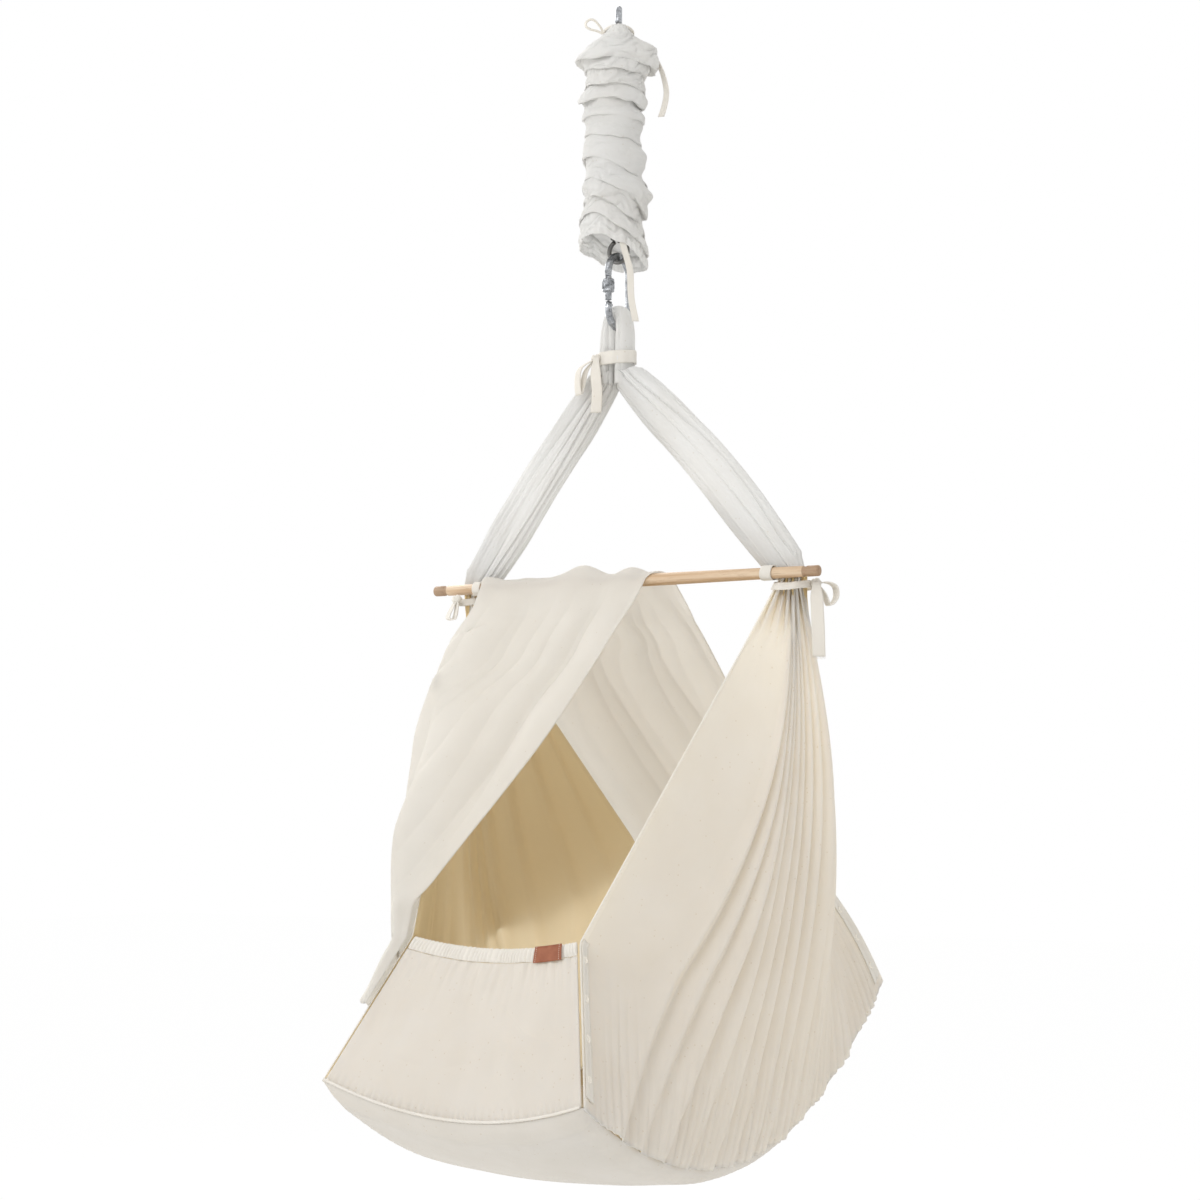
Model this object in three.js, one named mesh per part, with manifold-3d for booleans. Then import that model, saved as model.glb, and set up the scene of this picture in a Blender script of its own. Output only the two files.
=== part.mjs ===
// Hanging baby cradle: a cloth cradle with a wooden spreader bar, hung from a covered spring
// between two screw carabiners, with a muslin veil over the bar.
// Millimetres. Origin: inside the top of the upper carabiner, where the ceiling hook bears.
// +X runs along the spreader bar, +Y along the mattress towards the raised end, +Z is up.

import * as THREE from 'three';
import { mergeVertices } from 'three/addons/utils/BufferGeometryUtils.js';
import Module from 'manifold-3d';

const wasm = await Module();
wasm.setup();

// Clearances
const touchGap = 0.3;
const swingGap = 1.6;
const cutOverrun = 4;

// Carabiners
const barDiameter = 10;
const carabinerLength = 110;
const carabinerWidth = 60;
const gateDiameter = 9;
const noseLength = 6;
const gatePinDiameter = 2.4;
const gateTongueThickness = 3.6;
const gateTongueReach = 3.6;
const hingeStubHeight = 8;
const hingeInset = 5;
const gateSwingRoom = 2.5;
const lockLength = 18;
const lockDiameter = 17;
const lockGrooveDepth = 0.7;
const lockGrooves = 16;
const lockTravel = 10;
const upperCarabinerTurn = THREE.MathUtils.degToRad(33.7);

// Spring
const springHookLength = 256;
const hookWire = 6;
const hookInnerDiameter = 24;
const coilWire = 5.6;
const coilDiameter = 42;
const coilPitch = 6.4;
const coilNeck = 7;

// Spring sleeve and its drawcords
const sleeveTopDrop = 26;
const sleeveLowDrop = 350;
const sleeveHemSlant = 31;
const sleeveRadius = 40;
const sleeveWall = 1.4;
const sleeveNeckWidth = 34;
const sleeveRuche = 3.4;
const sleeveRuches = 9;
const drawcordDiameter = 3.4;
const drawTapeWidth = 9;
const upperTapeLength = 78;
const upperTapeDirection = upperCarabinerTurn;
const upperTapeRow = 0.13;
const lowerTapeLength = 108;
const lowerTapeDirection = THREE.MathUtils.degToRad(-39);

// Cloth above the spreader bar
const loopThickness = 26;
const loopWidth = 46;
const loopDepth = 28;
const neckDrop = 60;
const neckWidth = 44;
const neckDepth = 40;
const tieDrop = 33;
const tapeWidth = 18;
const tapeThickness = 1.6;
const crotchDrop = 19;
const legWidth = 66;
const legDepth = 40;
const legFoldDepth = 2.6;
const legFolds = 7;

// Spreader bar
const spreaderDrop = 348;
const spreaderLength = 626;
const spreaderDiameter = 17;
const spreaderEndDiameter = 14.5;
const spreaderGrooveInset = 22;
const spreaderGrooveWidth = 5;
const spreaderGrooveDepth = 0.9;
const tieSpacing = 524;
const bundleWidth = 34;
const bundleDepth = 24;

// Cradle body
const clothThickness = 2;
const baseWidth = 400;
const baseSpan = 750;
const baseLowDrop = 762;
const baseLowOffset = 60;
const frontCornerDrop = 660;
const backCornerDrop = 551;
const baseBelly = 24;
const bandHeight = 22;
const mattressThickness = 30;
const mattressInset = 10;
const seamGap = 0.8;
const panelTopWidth = 260;
const panelTopSpan = 564;
const frontTopDrop = 472;
const backTopDrop = 391;
const hemHeight = 16;
const hemThickness = 6;
const hemSag = 12;
const pipingDiameter = 4;
const wingBulge = 34;
const wingFoldDepth = 5.5;
const wingFolds = 7;
const snapDiameter = 11;
const snapHeight = 1.8;
const snapCount = 4;
const stripWidth = 15;
const stripThickness = 1.2;
const tagWidth = 40;
const tagHeight = 22;
const tagThickness = 1.8;
const tagOffset = 90;

// Tie tapes' knots, bows and tails
const knotWidth = 13;
const neckBowDrop = 50;
const neckBowReach = 20;
const neckBowTurn = THREE.MathUtils.degToRad(25);
const neckTailLength = 76;
const barBowDrop = 28;
const barBowReach = 26;
const barTailLength = 96;

// Veil
const veilThickness = 1.4;
const veilStandOff = 16;
const veilBulge = 26;
const veilFrontReach = 50;
const veilBackReach = 82;
const veilBackSpread = 40;
const veilFrontHemDrop = 428;
const veilBackHemDrop = 371;
const veilTieGap = 2;

// Places worked out from the sizes above
const barRadius = barDiameter / 2;
const carabinerBend = (carabinerWidth - barDiameter) / 2;
const carabinerInside = carabinerLength - 2 * barDiameter;
const hookRadius = (hookInnerDiameter + hookWire) / 2;
const topHookZ = -carabinerInside + touchGap + hookWire / 2 - hookRadius;
const topHookInsideZ = topHookZ + hookRadius - hookWire / 2;
const lowHookInsideZ = topHookInsideZ - springHookLength;
const lowHookZ = lowHookInsideZ + hookRadius - hookWire / 2;
const lowerTopBarZ = lowHookInsideZ + touchGap + barRadius;
const lowerOriginZ = lowerTopBarZ - barRadius;
const lowerBarZ = lowerTopBarZ - (carabinerLength - barDiameter);
const coilRadius = (coilDiameter - coilWire) / 2;
const coilTopZ = topHookZ - hookRadius - coilNeck;
const coilLowZ = lowHookZ + hookRadius + coilNeck;
const spreaderZ = lowerBarZ - spreaderDrop;
const tieX = tieSpacing / 2;
const bundleY = spreaderDiameter / 2 + bundleDepth / 2 + swingGap;
const halfWidth = baseWidth / 2;
const halfSpan = baseSpan / 2;
const panelTopHalf = panelTopWidth / 2;
const panelTopY = panelTopSpan / 2;
const seamLowZ = spreaderZ - baseLowDrop;
const frontCornerZ = spreaderZ - frontCornerDrop;
const backCornerZ = spreaderZ - backCornerDrop;
const frontTopZ = spreaderZ - frontTopDrop;
const backTopZ = spreaderZ - backTopDrop;

const xAxis = new THREE.Vector3(1, 0, 0);
const yAxis = new THREE.Vector3(0, 1, 0);
const zAxis = new THREE.Vector3(0, 0, 1);

// Materials
const materials = {
  cotton: new THREE.MeshStandardMaterial({ color: 0xebe7df, roughness: 0.92, metalness: 0 }),
  muslin: new THREE.MeshStandardMaterial({ color: 0xe8e5e2, roughness: 0.9, metalness: 0 }),
  tape: new THREE.MeshStandardMaterial({ color: 0xf0ede8, roughness: 0.9, metalness: 0 }),
  steel: new THREE.MeshStandardMaterial({ color: 0xa9adb5, roughness: 0.38, metalness: 1 }),
  oak: new THREE.MeshStandardMaterial({ color: 0xc9ac8b, roughness: 0.6, metalness: 0 }),
  leather: new THREE.MeshStandardMaterial({ color: 0xa5624a, roughness: 0.6, metalness: 0 }),
};

const cradle = new THREE.Group();

function addPart(name, geometry, material) {
  const mesh = new THREE.Mesh(geometry, material);
  mesh.name = name;
  cradle.add(mesh);
  return mesh;
}

function point(x, y, z) {
  return new THREE.Vector3(x, y, z);
}

function mix(a, b, t) {
  return a + (b - a) * t;
}

function smooth(t) {
  const s = Math.min(1, Math.max(0, t));
  return s * s * (3 - 2 * s);
}

// A value read from a row of shares spread evenly over 0 to 1.
function shareAt(shares, t) {
  const place = Math.min(1, Math.max(0, t)) * (shares.length - 1);
  const index = Math.min(shares.length - 2, Math.floor(place));
  return mix(shares[index], shares[index + 1], smooth(place - index));
}

// Closed solids from vertices
function solidFrom(points, faces) {
  const geometry = new THREE.BufferGeometry();
  const flat = points.flatMap((p) => [p.x, p.y, p.z]);
  geometry.setAttribute('position', new THREE.Float32BufferAttribute(flat, 3));
  const volume = faces.reduce((sum, [a, b, c]) => {
    const normal = points[b].clone().cross(points[c]);
    return sum + points[a].dot(normal);
  }, 0);
  const outward = volume < 0 ? faces.map(([a, b, c]) => [a, c, b]) : faces;
  geometry.setIndex(outward.flat());
  return geometry;
}

// A solid between two sheets of points over the same grid; around joins the first column to the last.
function slab(columns, rows, highAt, lowAt, around = false) {
  const width = around ? columns : columns + 1;
  const points = [];
  for (const side of [highAt, lowAt]) {
    for (let j = 0; j <= rows; j += 1) {
      for (let i = 0; i < width; i += 1) points.push(side(i / columns, j / rows));
    }
  }
  const lower = width * (rows + 1);
  const high = (i, j) => j * width + (i % width);
  const low = (i, j) => lower + high(i, j);
  const faces = [];
  const quad = (a, b, c, d) => faces.push([a, b, c], [a, c, d]);
  for (let i = 0; i < columns; i += 1) {
    for (let j = 0; j < rows; j += 1) {
      quad(high(i, j), high(i + 1, j), high(i + 1, j + 1), high(i, j + 1));
      quad(low(i, j), low(i, j + 1), low(i + 1, j + 1), low(i + 1, j));
    }
    quad(high(i + 1, 0), high(i, 0), low(i, 0), low(i + 1, 0));
    quad(high(i, rows), high(i + 1, rows), low(i + 1, rows), low(i, rows));
  }
  for (let j = 0; j < rows && !around; j += 1) {
    quad(high(0, j), high(0, j + 1), low(0, j + 1), low(0, j));
    quad(high(columns, j + 1), high(columns, j), low(columns, j), low(columns, j + 1));
  }
  return solidFrom(points, faces);
}

function normalAt(surface, u, v) {
  const step = 1e-3;
  const along = surface(u + step, v).sub(surface(u - step, v));
  const down = surface(u, v + step).sub(surface(u, v - step));
  return along.cross(down).normalize();
}

function offsetFrom(surface, distance) {
  return (u, v) => surface(u, v).addScaledVector(normalAt(surface, u, v), distance);
}

// A cloth of one thickness on a surface.
function cloth(columns, rows, surface, thickness, around = false) {
  const half = thickness / 2;
  return slab(columns, rows, offsetFrom(surface, half), offsetFrom(surface, -half), around);
}

// A solid through rings of points, closed at both ends by a fan.
function loft(rings) {
  const count = rings[0].length;
  const points = rings.flat();
  const faces = [];
  for (let j = 0; j < rings.length - 1; j += 1) {
    for (let i = 0; i < count; i += 1) {
      const a = j * count + i;
      const b = j * count + ((i + 1) % count);
      faces.push([a, b, b + count], [a, b + count, a + count]);
    }
  }
  for (const [ring, flip] of [[0, false], [rings.length - 1, true]]) {
    const middle = rings[ring].reduce((sum, p) => sum.add(p), point(0, 0, 0)).divideScalar(count);
    points.push(middle);
    for (let i = 0; i < count; i += 1) {
      const a = ring * count + i;
      const b = ring * count + ((i + 1) % count);
      faces.push(flip ? [a, b, points.length - 1] : [b, a, points.length - 1]);
    }
  }
  return solidFrom(points, faces);
}

function circleShape(radius, sides) {
  const corners = Array.from({ length: sides }, (_, i) => {
    const angle = (i / sides) * 2 * Math.PI;
    return new THREE.Vector2(radius * Math.cos(angle), radius * Math.sin(angle));
  });
  return new THREE.Shape(corners);
}

// A round bar swept along a curve.
function rod(curve, radius, sides, steps) {
  return new THREE.ExtrudeGeometry(circleShape(radius, sides), { steps, extrudePath: curve, bevelEnabled: false });
}

function through(points, closed = false) {
  return new THREE.CatmullRomCurve3(points, closed, 'centripetal');
}

// A flat tape along a curve, its width laid along one direction that may turn on the way.
function tapeAlong(curve, widthAt, width, steps) {
  const surface = (u, v) => {
    const t = Math.min(1, Math.max(0, v));
    const over = v - t;
    const place = curve.getPoint(t).addScaledVector(curve.getTangent(t), over * curve.getLength());
    return place.addScaledVector(widthAt(t), (u - 1 / 2) * width);
  };
  return cloth(2, steps, surface, tapeThickness);
}

// A tape closed on itself round something oval; its width lies along one axis.
function tapeRing(centre, halfA, halfB, axisA, axisB, width, steps) {
  const widthAxis = axisA.clone().cross(axisB).normalize();
  const surface = (u, v) => {
    const angle = u * 2 * Math.PI;
    const place = centre.clone().addScaledVector(axisA, halfA * Math.cos(angle));
    place.addScaledVector(axisB, halfB * Math.sin(angle));
    return place.addScaledVector(widthAxis, (v - 1 / 2) * width);
  };
  return cloth(steps, 1, surface, tapeThickness, true);
}

// Joining and cutting
function toManifold(geometry) {
  const bare = new THREE.BufferGeometry();
  bare.setAttribute('position', geometry.getAttribute('position'));
  if (geometry.index) bare.setIndex(geometry.index);
  const merged = mergeVertices(bare, 1e-4);
  const vertProperties = new Float32Array(merged.getAttribute('position').array);
  const triVerts = new Uint32Array(merged.index.array);
  return new wasm.Manifold(new wasm.Mesh({ numProp: 3, vertProperties, triVerts }));
}

function fromManifold(body) {
  const { vertProperties, triVerts } = body.getMesh();
  const geometry = new THREE.BufferGeometry();
  geometry.setAttribute('position', new THREE.Float32BufferAttribute(vertProperties, 3));
  geometry.setIndex(Array.from(triVerts));
  return geometry;
}

function join(first, ...others) {
  return fromManifold(others.reduce((sum, g) => sum.add(toManifold(g)), toManifold(first)));
}

function cut(first, ...others) {
  return fromManifold(others.reduce((sum, g) => sum.subtract(toManifold(g)), toManifold(first)));
}

function cylinderAlong(axis, radius, length, sides, centre) {
  const geometry = new THREE.CylinderGeometry(radius, radius, length, sides);
  geometry.applyQuaternion(new THREE.Quaternion().setFromUnitVectors(yAxis, axis));
  return geometry.translate(centre.x, centre.y, centre.z);
}

function boxAt(sizeX, sizeY, sizeZ, centre) {
  return new THREE.BoxGeometry(sizeX, sizeY, sizeZ).translate(centre.x, centre.y, centre.z);
}

// Screw carabiner: a bent steel bar with a hinged gate and a sleeve that screws over the nose.
// Its own frame has the inside of the top bend at the origin, the gate on the -Y side.
const bendTopZ = barRadius - carabinerBend;
const bendLowZ = -carabinerInside - barRadius + carabinerBend;
const stubTopZ = bendLowZ + hingeStubHeight;
const hingeZ = stubTopZ - hingeInset;
const gateY = -carabinerBend;
const gateTopZ = bendTopZ - noseLength - touchGap;
const gateLowZ = stubTopZ + gateSwingRoom;
const gateRadius = gateDiameter / 2;

class CarabinerLine extends THREE.Curve {
  // From the nose over the top bend, down the spine and round the low bend to the hinge stub.
  getPoint(t) {
    const bendRun = Math.PI * carabinerBend;
    const spine = bendTopZ - bendLowZ;
    const run = t * (2 * bendRun + spine + hingeStubHeight);
    if (run < bendRun) {
      const angle = Math.PI - run / carabinerBend;
      return point(0, carabinerBend * Math.cos(angle), bendTopZ + carabinerBend * Math.sin(angle));
    }
    if (run < bendRun + spine) return point(0, carabinerBend, bendTopZ - (run - bendRun));
    if (run < 2 * bendRun + spine) {
      const angle = -(run - bendRun - spine) / carabinerBend;
      return point(0, carabinerBend * Math.cos(angle), bendLowZ + carabinerBend * Math.sin(angle));
    }
    return point(0, gateY, bendLowZ + (run - 2 * bendRun - spine));
  }
}

function carabinerFrame() {
  const bar = rod(new CarabinerLine(), barRadius, 8, 38);
  const noseMiddle = point(0, gateY, bendTopZ - noseLength / 2 + touchGap);
  const nose = cylinderAlong(zAxis, gateRadius, noseLength + 2 * touchGap, 12, noseMiddle);
  const slotWidth = gateTongueThickness + 2 * touchGap;
  const slotHeight = hingeInset + gateTongueReach + touchGap + cutOverrun;
  const slotMiddle = point(0, gateY, stubTopZ + cutOverrun - slotHeight / 2);
  const slot = boxAt(slotWidth, barDiameter + cutOverrun, slotHeight, slotMiddle);
  const pinHole = cylinderAlong(
    xAxis,
    gatePinDiameter / 2 + touchGap,
    barDiameter + cutOverrun,
    10,
    point(0, gateY, hingeZ)
  );
  return cut(join(bar, nose), slot, pinHole);
}

function carabinerGate() {
  const length = gateTopZ - gateLowZ;
  const body = cylinderAlong(zAxis, gateRadius, length, 12, point(0, gateY, gateLowZ + length / 2));
  const tongueHeight = gateLowZ - hingeZ + touchGap;
  const tongueMiddle = point(0, gateY, hingeZ + tongueHeight / 2);
  const tongue = boxAt(gateTongueThickness, 2 * gateTongueReach, tongueHeight, tongueMiddle);
  const heel = cylinderAlong(xAxis, gateTongueReach, gateTongueThickness, 14, point(0, gateY, hingeZ));
  const pinHole = cylinderAlong(
    xAxis,
    gatePinDiameter / 2 + touchGap,
    barDiameter + cutOverrun,
    10,
    point(0, gateY, hingeZ)
  );
  return cut(join(body, tongue, heel), pinHole);
}

function carabinerPin() {
  const length = 2 * Math.sqrt(barRadius ** 2 - (gatePinDiameter / 2 + touchGap) ** 2);
  return cylinderAlong(xAxis, gatePinDiameter / 2, length, 10, point(0, gateY, hingeZ));
}

function carabinerLock() {
  const outline = new THREE.Shape(
    Array.from({ length: 2 * lockGrooves }, (_, i) => {
      const angle = (i / (2 * lockGrooves)) * 2 * Math.PI;
      const radius = lockDiameter / 2 - (i % 2) * lockGrooveDepth;
      return new THREE.Vector2(radius * Math.cos(angle), radius * Math.sin(angle));
    })
  );
  const bore = circleShape(gateRadius + touchGap, 16);
  outline.holes.push(bore);
  const sleeve = new THREE.ExtrudeGeometry(outline, { depth: lockLength, bevelEnabled: false });
  const topZ = bendTopZ - touchGap - lockTravel;
  return sleeve.translate(0, gateY, topZ - lockLength);
}

function addCarabiner(prefix, originZ, turn) {
  const pieces = { frame: carabinerFrame(), gate: carabinerGate(), gate_pin: carabinerPin(), lock: carabinerLock() };
  for (const [name, geometry] of Object.entries(pieces)) {
    const mesh = addPart(`${prefix}_${name}`, geometry, materials.steel);
    mesh.position.z = originZ;
    mesh.rotation.z = turn;
  }
}

// Extension spring: a closed coil between two round hooks.
class HookShank extends THREE.Curve {
  // From the middle of a hook's round eye out to the coil's first turn.
  constructor(eyeZ, coilZ, endAngle) {
    super();
    this.eyeZ = eyeZ;
    this.coilZ = coilZ;
    this.endAngle = endAngle;
  }

  getPoint(t) {
    const angle = this.endAngle - Math.sign(this.eyeZ - this.coilZ) * Math.PI * (1 - t);
    const radius = coilRadius * Math.sin((t * Math.PI) / 2);
    return point(radius * Math.cos(angle), radius * Math.sin(angle), mix(this.eyeZ, this.coilZ, smooth(t)));
  }
}

class CoilLine extends THREE.Curve {
  getPoint(t) {
    const angle = springCoilAngle * t;
    return point(coilRadius * Math.cos(angle), coilRadius * Math.sin(angle), mix(coilTopZ, coilLowZ, t));
  }
}

const springCoilAngle = (2 * Math.PI * (coilTopZ - coilLowZ)) / coilPitch;
const coilJointAngle = (2 * touchGap) / coilRadius;

function springHook(eyeMiddleZ, side, coilEndZ, coilEndAngle, turn) {
  const eye = new THREE.TorusGeometry(hookRadius, hookWire / 2, 7, 18);
  eye.rotateX(Math.PI / 2);
  eye.rotateZ(turn);
  eye.translate(0, 0, eyeMiddleZ);
  const eyeEndZ = eyeMiddleZ - side * hookRadius;
  const shank = rod(new HookShank(eyeEndZ, coilEndZ, coilEndAngle), coilWire / 2, 7, 9);
  return join(eye, shank);
}

function springCoil() {
  const stepsPerTurn = 7;
  const steps = Math.round((springCoilAngle / (2 * Math.PI)) * stepsPerTurn);
  return rod(new CoilLine(), coilWire / 2, 5, steps);
}

// Spring sleeve: a cotton tube gathered on drawcords at both ends, ruched down its length.
const sleeveRadiusShares = [1.12, 1.3, 1.06, 0.98, 0.97, 0.98, 0.97, 1.0, 1.02, 1.08, 1.02, 0.98];
const sleeveNeckShare = 0.012;
const sleeveShoulderShare = 0.045;
const sleeveTurn = upperCarabinerTurn;
const sleeveNeckHalf = carabinerBend + lockDiameter / 2 + sleeveWall + touchGap;

// The rows lie closer together at the gathered neck.
function sleeveSurface(u, row) {
  const angle = u * 2 * Math.PI;
  const v = mix(Math.max(0, row) ** (3 / 2), row, smooth(4 * row));
  const body = sleeveRadius * shareAt(sleeveRadiusShares, v);
  const ruche = sleeveRuche * Math.sin(2 * Math.PI * sleeveRuches * v + Math.cos(2 * angle));
  const open = smooth((v - sleeveNeckShare) / sleeveShoulderShare);
  const acrossRadius = mix(sleeveNeckWidth / 2, body + ruche, open);
  const alongRadius = mix(sleeveNeckHalf, body + ruche, open);
  const across = acrossRadius * Math.cos(angle);
  const along = alongRadius * Math.sin(angle);
  const x = across * Math.cos(sleeveTurn) - along * Math.sin(sleeveTurn);
  const y = across * Math.sin(sleeveTurn) + along * Math.cos(sleeveTurn);
  const slant = sleeveHemSlant * (y / sleeveRadius) * smooth(2 * v - 1);
  return point(x, y, mix(-sleeveTopDrop, -sleeveLowDrop, v) - slant);
}

function sleeveDrawcord() {
  const neckZ = -sleeveTopDrop - drawcordDiameter / 2 - touchGap;
  const across = xAxis.clone().applyAxisAngle(zAxis, sleeveTurn);
  const along = yAxis.clone().applyAxisAngle(zAxis, sleeveTurn);
  const grow = sleeveWall + drawcordDiameter / 2 + touchGap;
  const halfAcross = sleeveNeckWidth / 2 + grow;
  const halfAlong = sleeveNeckHalf + grow;
  const turns = 12;
  const ring = Array.from({ length: turns }, (_, i) => {
    const angle = (i / turns) * 2 * Math.PI;
    const place = across.clone().multiplyScalar(halfAcross * Math.cos(angle));
    return place.addScaledVector(along, halfAlong * Math.sin(angle)).setZ(neckZ);
  });
  const bowReach = 1.1 * halfAcross;
  const bowRise = halfAcross;
  const side = across.clone().multiplyScalar(-halfAcross).setZ(neckZ);
  const bow = [
    side.clone(),
    side.clone().addScaledVector(across, -bowReach / 2).addScaledVector(zAxis, bowRise),
    side.clone().addScaledVector(across, -bowReach).addScaledVector(zAxis, bowRise / 2),
    side.clone().addScaledVector(across, -bowReach / 2).addScaledVector(zAxis, drawcordDiameter),
  ];
  const cord = (line, steps) => new THREE.TubeGeometry(through(line, true), steps, drawcordDiameter / 2, 5, true);
  return join(cord(ring, 2 * turns), cord(bow, turns));
}

// A place on the sleeve's wall, moved out from the axis (or in, where out is below zero).
const sleeveTapeGap = (sleeveWall + tapeThickness) / 2 + touchGap;

function sleeveWallPoint(direction, row, out) {
  const place = sleeveSurface((direction - sleeveTurn) / (2 * Math.PI), row);
  const grow = 1 + out / Math.hypot(place.x, place.y);
  return place.multiply(point(grow, grow, 1));
}

function upperTape() {
  const top = sleeveWallPoint(upperTapeDirection, upperTapeRow, sleeveTapeGap - swingGap);
  const outwards = xAxis.clone().applyAxisAngle(zAxis, upperTapeDirection);
  const hang = (out, share) => top.clone().addScaledVector(outwards, out).addScaledVector(zAxis, -share * upperTapeLength);
  const line = through([hang(0, 0), hang(drawTapeWidth, 2 / 3), hang(drawTapeWidth / 2, 1)]);
  const across = outwards.clone().applyAxisAngle(zAxis, Math.PI / 2);
  return tapeAlong(line, (t) => across.clone().applyAxisAngle(zAxis, -t), drawTapeWidth, 8);
}

function lowerTape() {
  const inward = -sleeveTapeGap - seamGap;
  const top = sleeveWallPoint(lowerTapeDirection, 1 - 1 / 50, inward);
  const hem = sleeveWallPoint(lowerTapeDirection, 1, inward);
  const low = hem.clone().add(point(drawTapeWidth, 2 * drawTapeWidth, -lowerTapeLength));
  const middle = hem.clone().lerp(low, 1 / 2).addScaledVector(xAxis, tapeThickness);
  const across = yAxis.clone().applyAxisAngle(zAxis, lowerTapeDirection);
  return tapeAlong(through([top, hem, middle, low]), () => across, drawTapeWidth, 7);
}

// Cloth loop that hangs on the lower carabiner, and the neck below it
function gatherLoop() {
  const rideClear = barRadius + 2 * touchGap;
  const sideClear = barRadius + swingGap + touchGap;
  const top = rideClear + loopThickness;
  const low = -neckDrop;
  const halfLoop = loopWidth / 2;
  const halfNeck = neckWidth / 2;
  const outline = new THREE.Shape();
  outline.moveTo(-halfNeck, low);
  outline.lineTo(halfNeck, low);
  outline.bezierCurveTo(halfLoop, -loopWidth, halfLoop, 0, halfLoop / 2, top - touchGap);
  outline.lineTo(-halfLoop / 2, top - touchGap);
  outline.bezierCurveTo(-halfLoop, 0, -halfLoop, -loopWidth, -halfNeck, low);
  const hole = new THREE.Path();
  hole.absellipse(0, 0, sideClear, rideClear, 0, Math.PI, false);
  hole.lineTo(0, -barDiameter - swingGap);
  hole.closePath();
  outline.holes.push(hole);
  const body = new THREE.ExtrudeGeometry(outline, { depth: loopDepth, steps: 6, curveSegments: 8, bevelEnabled: false });
  body.rotateX(Math.PI / 2);
  body.translate(0, loopDepth / 2, 0);
  const place = body.getAttribute('position');
  const saddle = carabinerBend - rideClear;
  for (let i = 0; i < place.count; i += 1) {
    const x = place.getX(i);
    const y = place.getY(i);
    const z = place.getZ(i);
    const down = smooth(-z / tieDrop);
    const rise = saddle - Math.sqrt(saddle ** 2 - y ** 2);
    const roundX = Math.sqrt(1 - (down * (y / (loopDepth / 2)) ** 2) / 2);
    const roundY = Math.sqrt(1 - (down * Math.min(1, (x / halfNeck) ** 2)) / 2);
    const depth = mix(1, neckDepth / loopDepth, down);
    place.setXYZ(i, x * roundX, y * depth * roundY, lowerBarZ + z + rise * (1 - down));
  }
  return body;
}

// Gathered cloth between the neck and the spreader bar, one bundle to each side
const legWidthShares = [0.33, 0.68, 0.94, 1, 0.84, 0.52];
const legDepthShares = [0.98, 1, 0.96, 0.88, 0.74, 0.58];
const neckLowZ = lowerBarZ - neckDrop;

function legLine(side) {
  const start = point(side * (neckWidth / 4), 0, neckLowZ - touchGap);
  const end = point(side * tieX, bundleY, spreaderZ);
  const nearStart = start.clone().lerp(end, crotchDrop / spreaderDrop).setY(0);
  const nearEnd = end.clone().lerp(start, bundleDepth / spreaderDrop).setY(bundleY);
  const middle = nearStart.clone().lerp(nearEnd, 1 / 2);
  return through([start, nearStart, middle, nearEnd, end]);
}

function leg(side) {
  const line = legLine(side);
  const stations = 12;
  const count = 3 * legFolds;
  const rings = Array.from({ length: stations + 1 }, (_, j) => {
    const t = j / stations;
    const centre = line.getPoint(t);
    const tangent = line.getTangent(t);
    const ends = smooth(1 - 8 * t) + smooth(8 * t - 7);
    tangent.lerp(point(0, 0, -1), ends).normalize();
    const wide = yAxis.clone().cross(tangent).normalize();
    const deep = tangent.clone().cross(wide);
    const halfWide = (legWidth / 2) * shareAt(legWidthShares, t);
    const halfDeep = (legDepth / 2) * shareAt(legDepthShares, t);
    return Array.from({ length: count }, (_unused, i) => {
      const angle = (i / count) * 2 * Math.PI;
      const fold = 1 - (legFoldDepth / legWidth) * 2 * (1 + Math.cos(legFolds * angle)) * Math.sin(Math.PI * t);
      const place = centre.clone().addScaledVector(wide, halfWide * fold * Math.cos(angle));
      place.addScaledVector(deep, halfDeep * fold * Math.sin(angle));
      return place.setX(side * Math.max(touchGap, side * place.x));
    });
  });
  return loft(rings);
}

// Tie tape round the neck, with its knot, bow and tail
function neckTie() {
  const centre = point(0, 0, lowerBarZ - tieDrop - tapeWidth / 2);
  const grow = tapeThickness / 2 + seamGap + touchGap;
  return tapeRing(centre, loopWidth / 2 + grow, neckDepth / 2 + grow, xAxis, yAxis, tapeWidth, 20);
}

// Spreader bar: a turned dowel, a little thicker in the middle, with a groove near each end
function spreaderBar() {
  const half = spreaderLength / 2;
  const middleRadius = spreaderDiameter / 2;
  const endRadius = spreaderEndDiameter / 2;
  const grooveRadius = endRadius - spreaderGrooveDepth;
  const grooveOuter = half - spreaderGrooveInset + spreaderGrooveWidth;
  const grooveInner = half - spreaderGrooveInset;
  const chamfer = spreaderGrooveDepth;
  const end = [
    [middleRadius, half / 4],
    [endRadius, grooveInner - spreaderGrooveDepth],
    [grooveRadius, grooveInner],
    [grooveRadius, grooveOuter - spreaderGrooveDepth],
    [endRadius, grooveOuter],
    [endRadius, half - chamfer],
    [endRadius - chamfer, half],
    [0, half],
  ];
  const rightHalf = end.map(([radius, along]) => new THREE.Vector2(radius, along));
  const leftHalf = end.map(([radius, along]) => new THREE.Vector2(radius, -along)).reverse();
  const bar = new THREE.LatheGeometry([...leftHalf, ...rightHalf], 14);
  return bar.rotateZ(-Math.PI / 2).translate(0, 0, spreaderZ);
}

// The base's seam line: low in the middle of its length, lowest across its middle
function seamZ(x, y) {
  const end = y < -baseLowOffset ? frontCornerZ : backCornerZ;
  const run = y < -baseLowOffset ? halfSpan - baseLowOffset : halfSpan + baseLowOffset;
  const across = 1 - Math.min(1, (x / halfWidth) ** 2);
  return seamLowZ + (end - seamLowZ) * ((y + baseLowOffset) / run) ** 2 - baseBelly * across;
}

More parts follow.
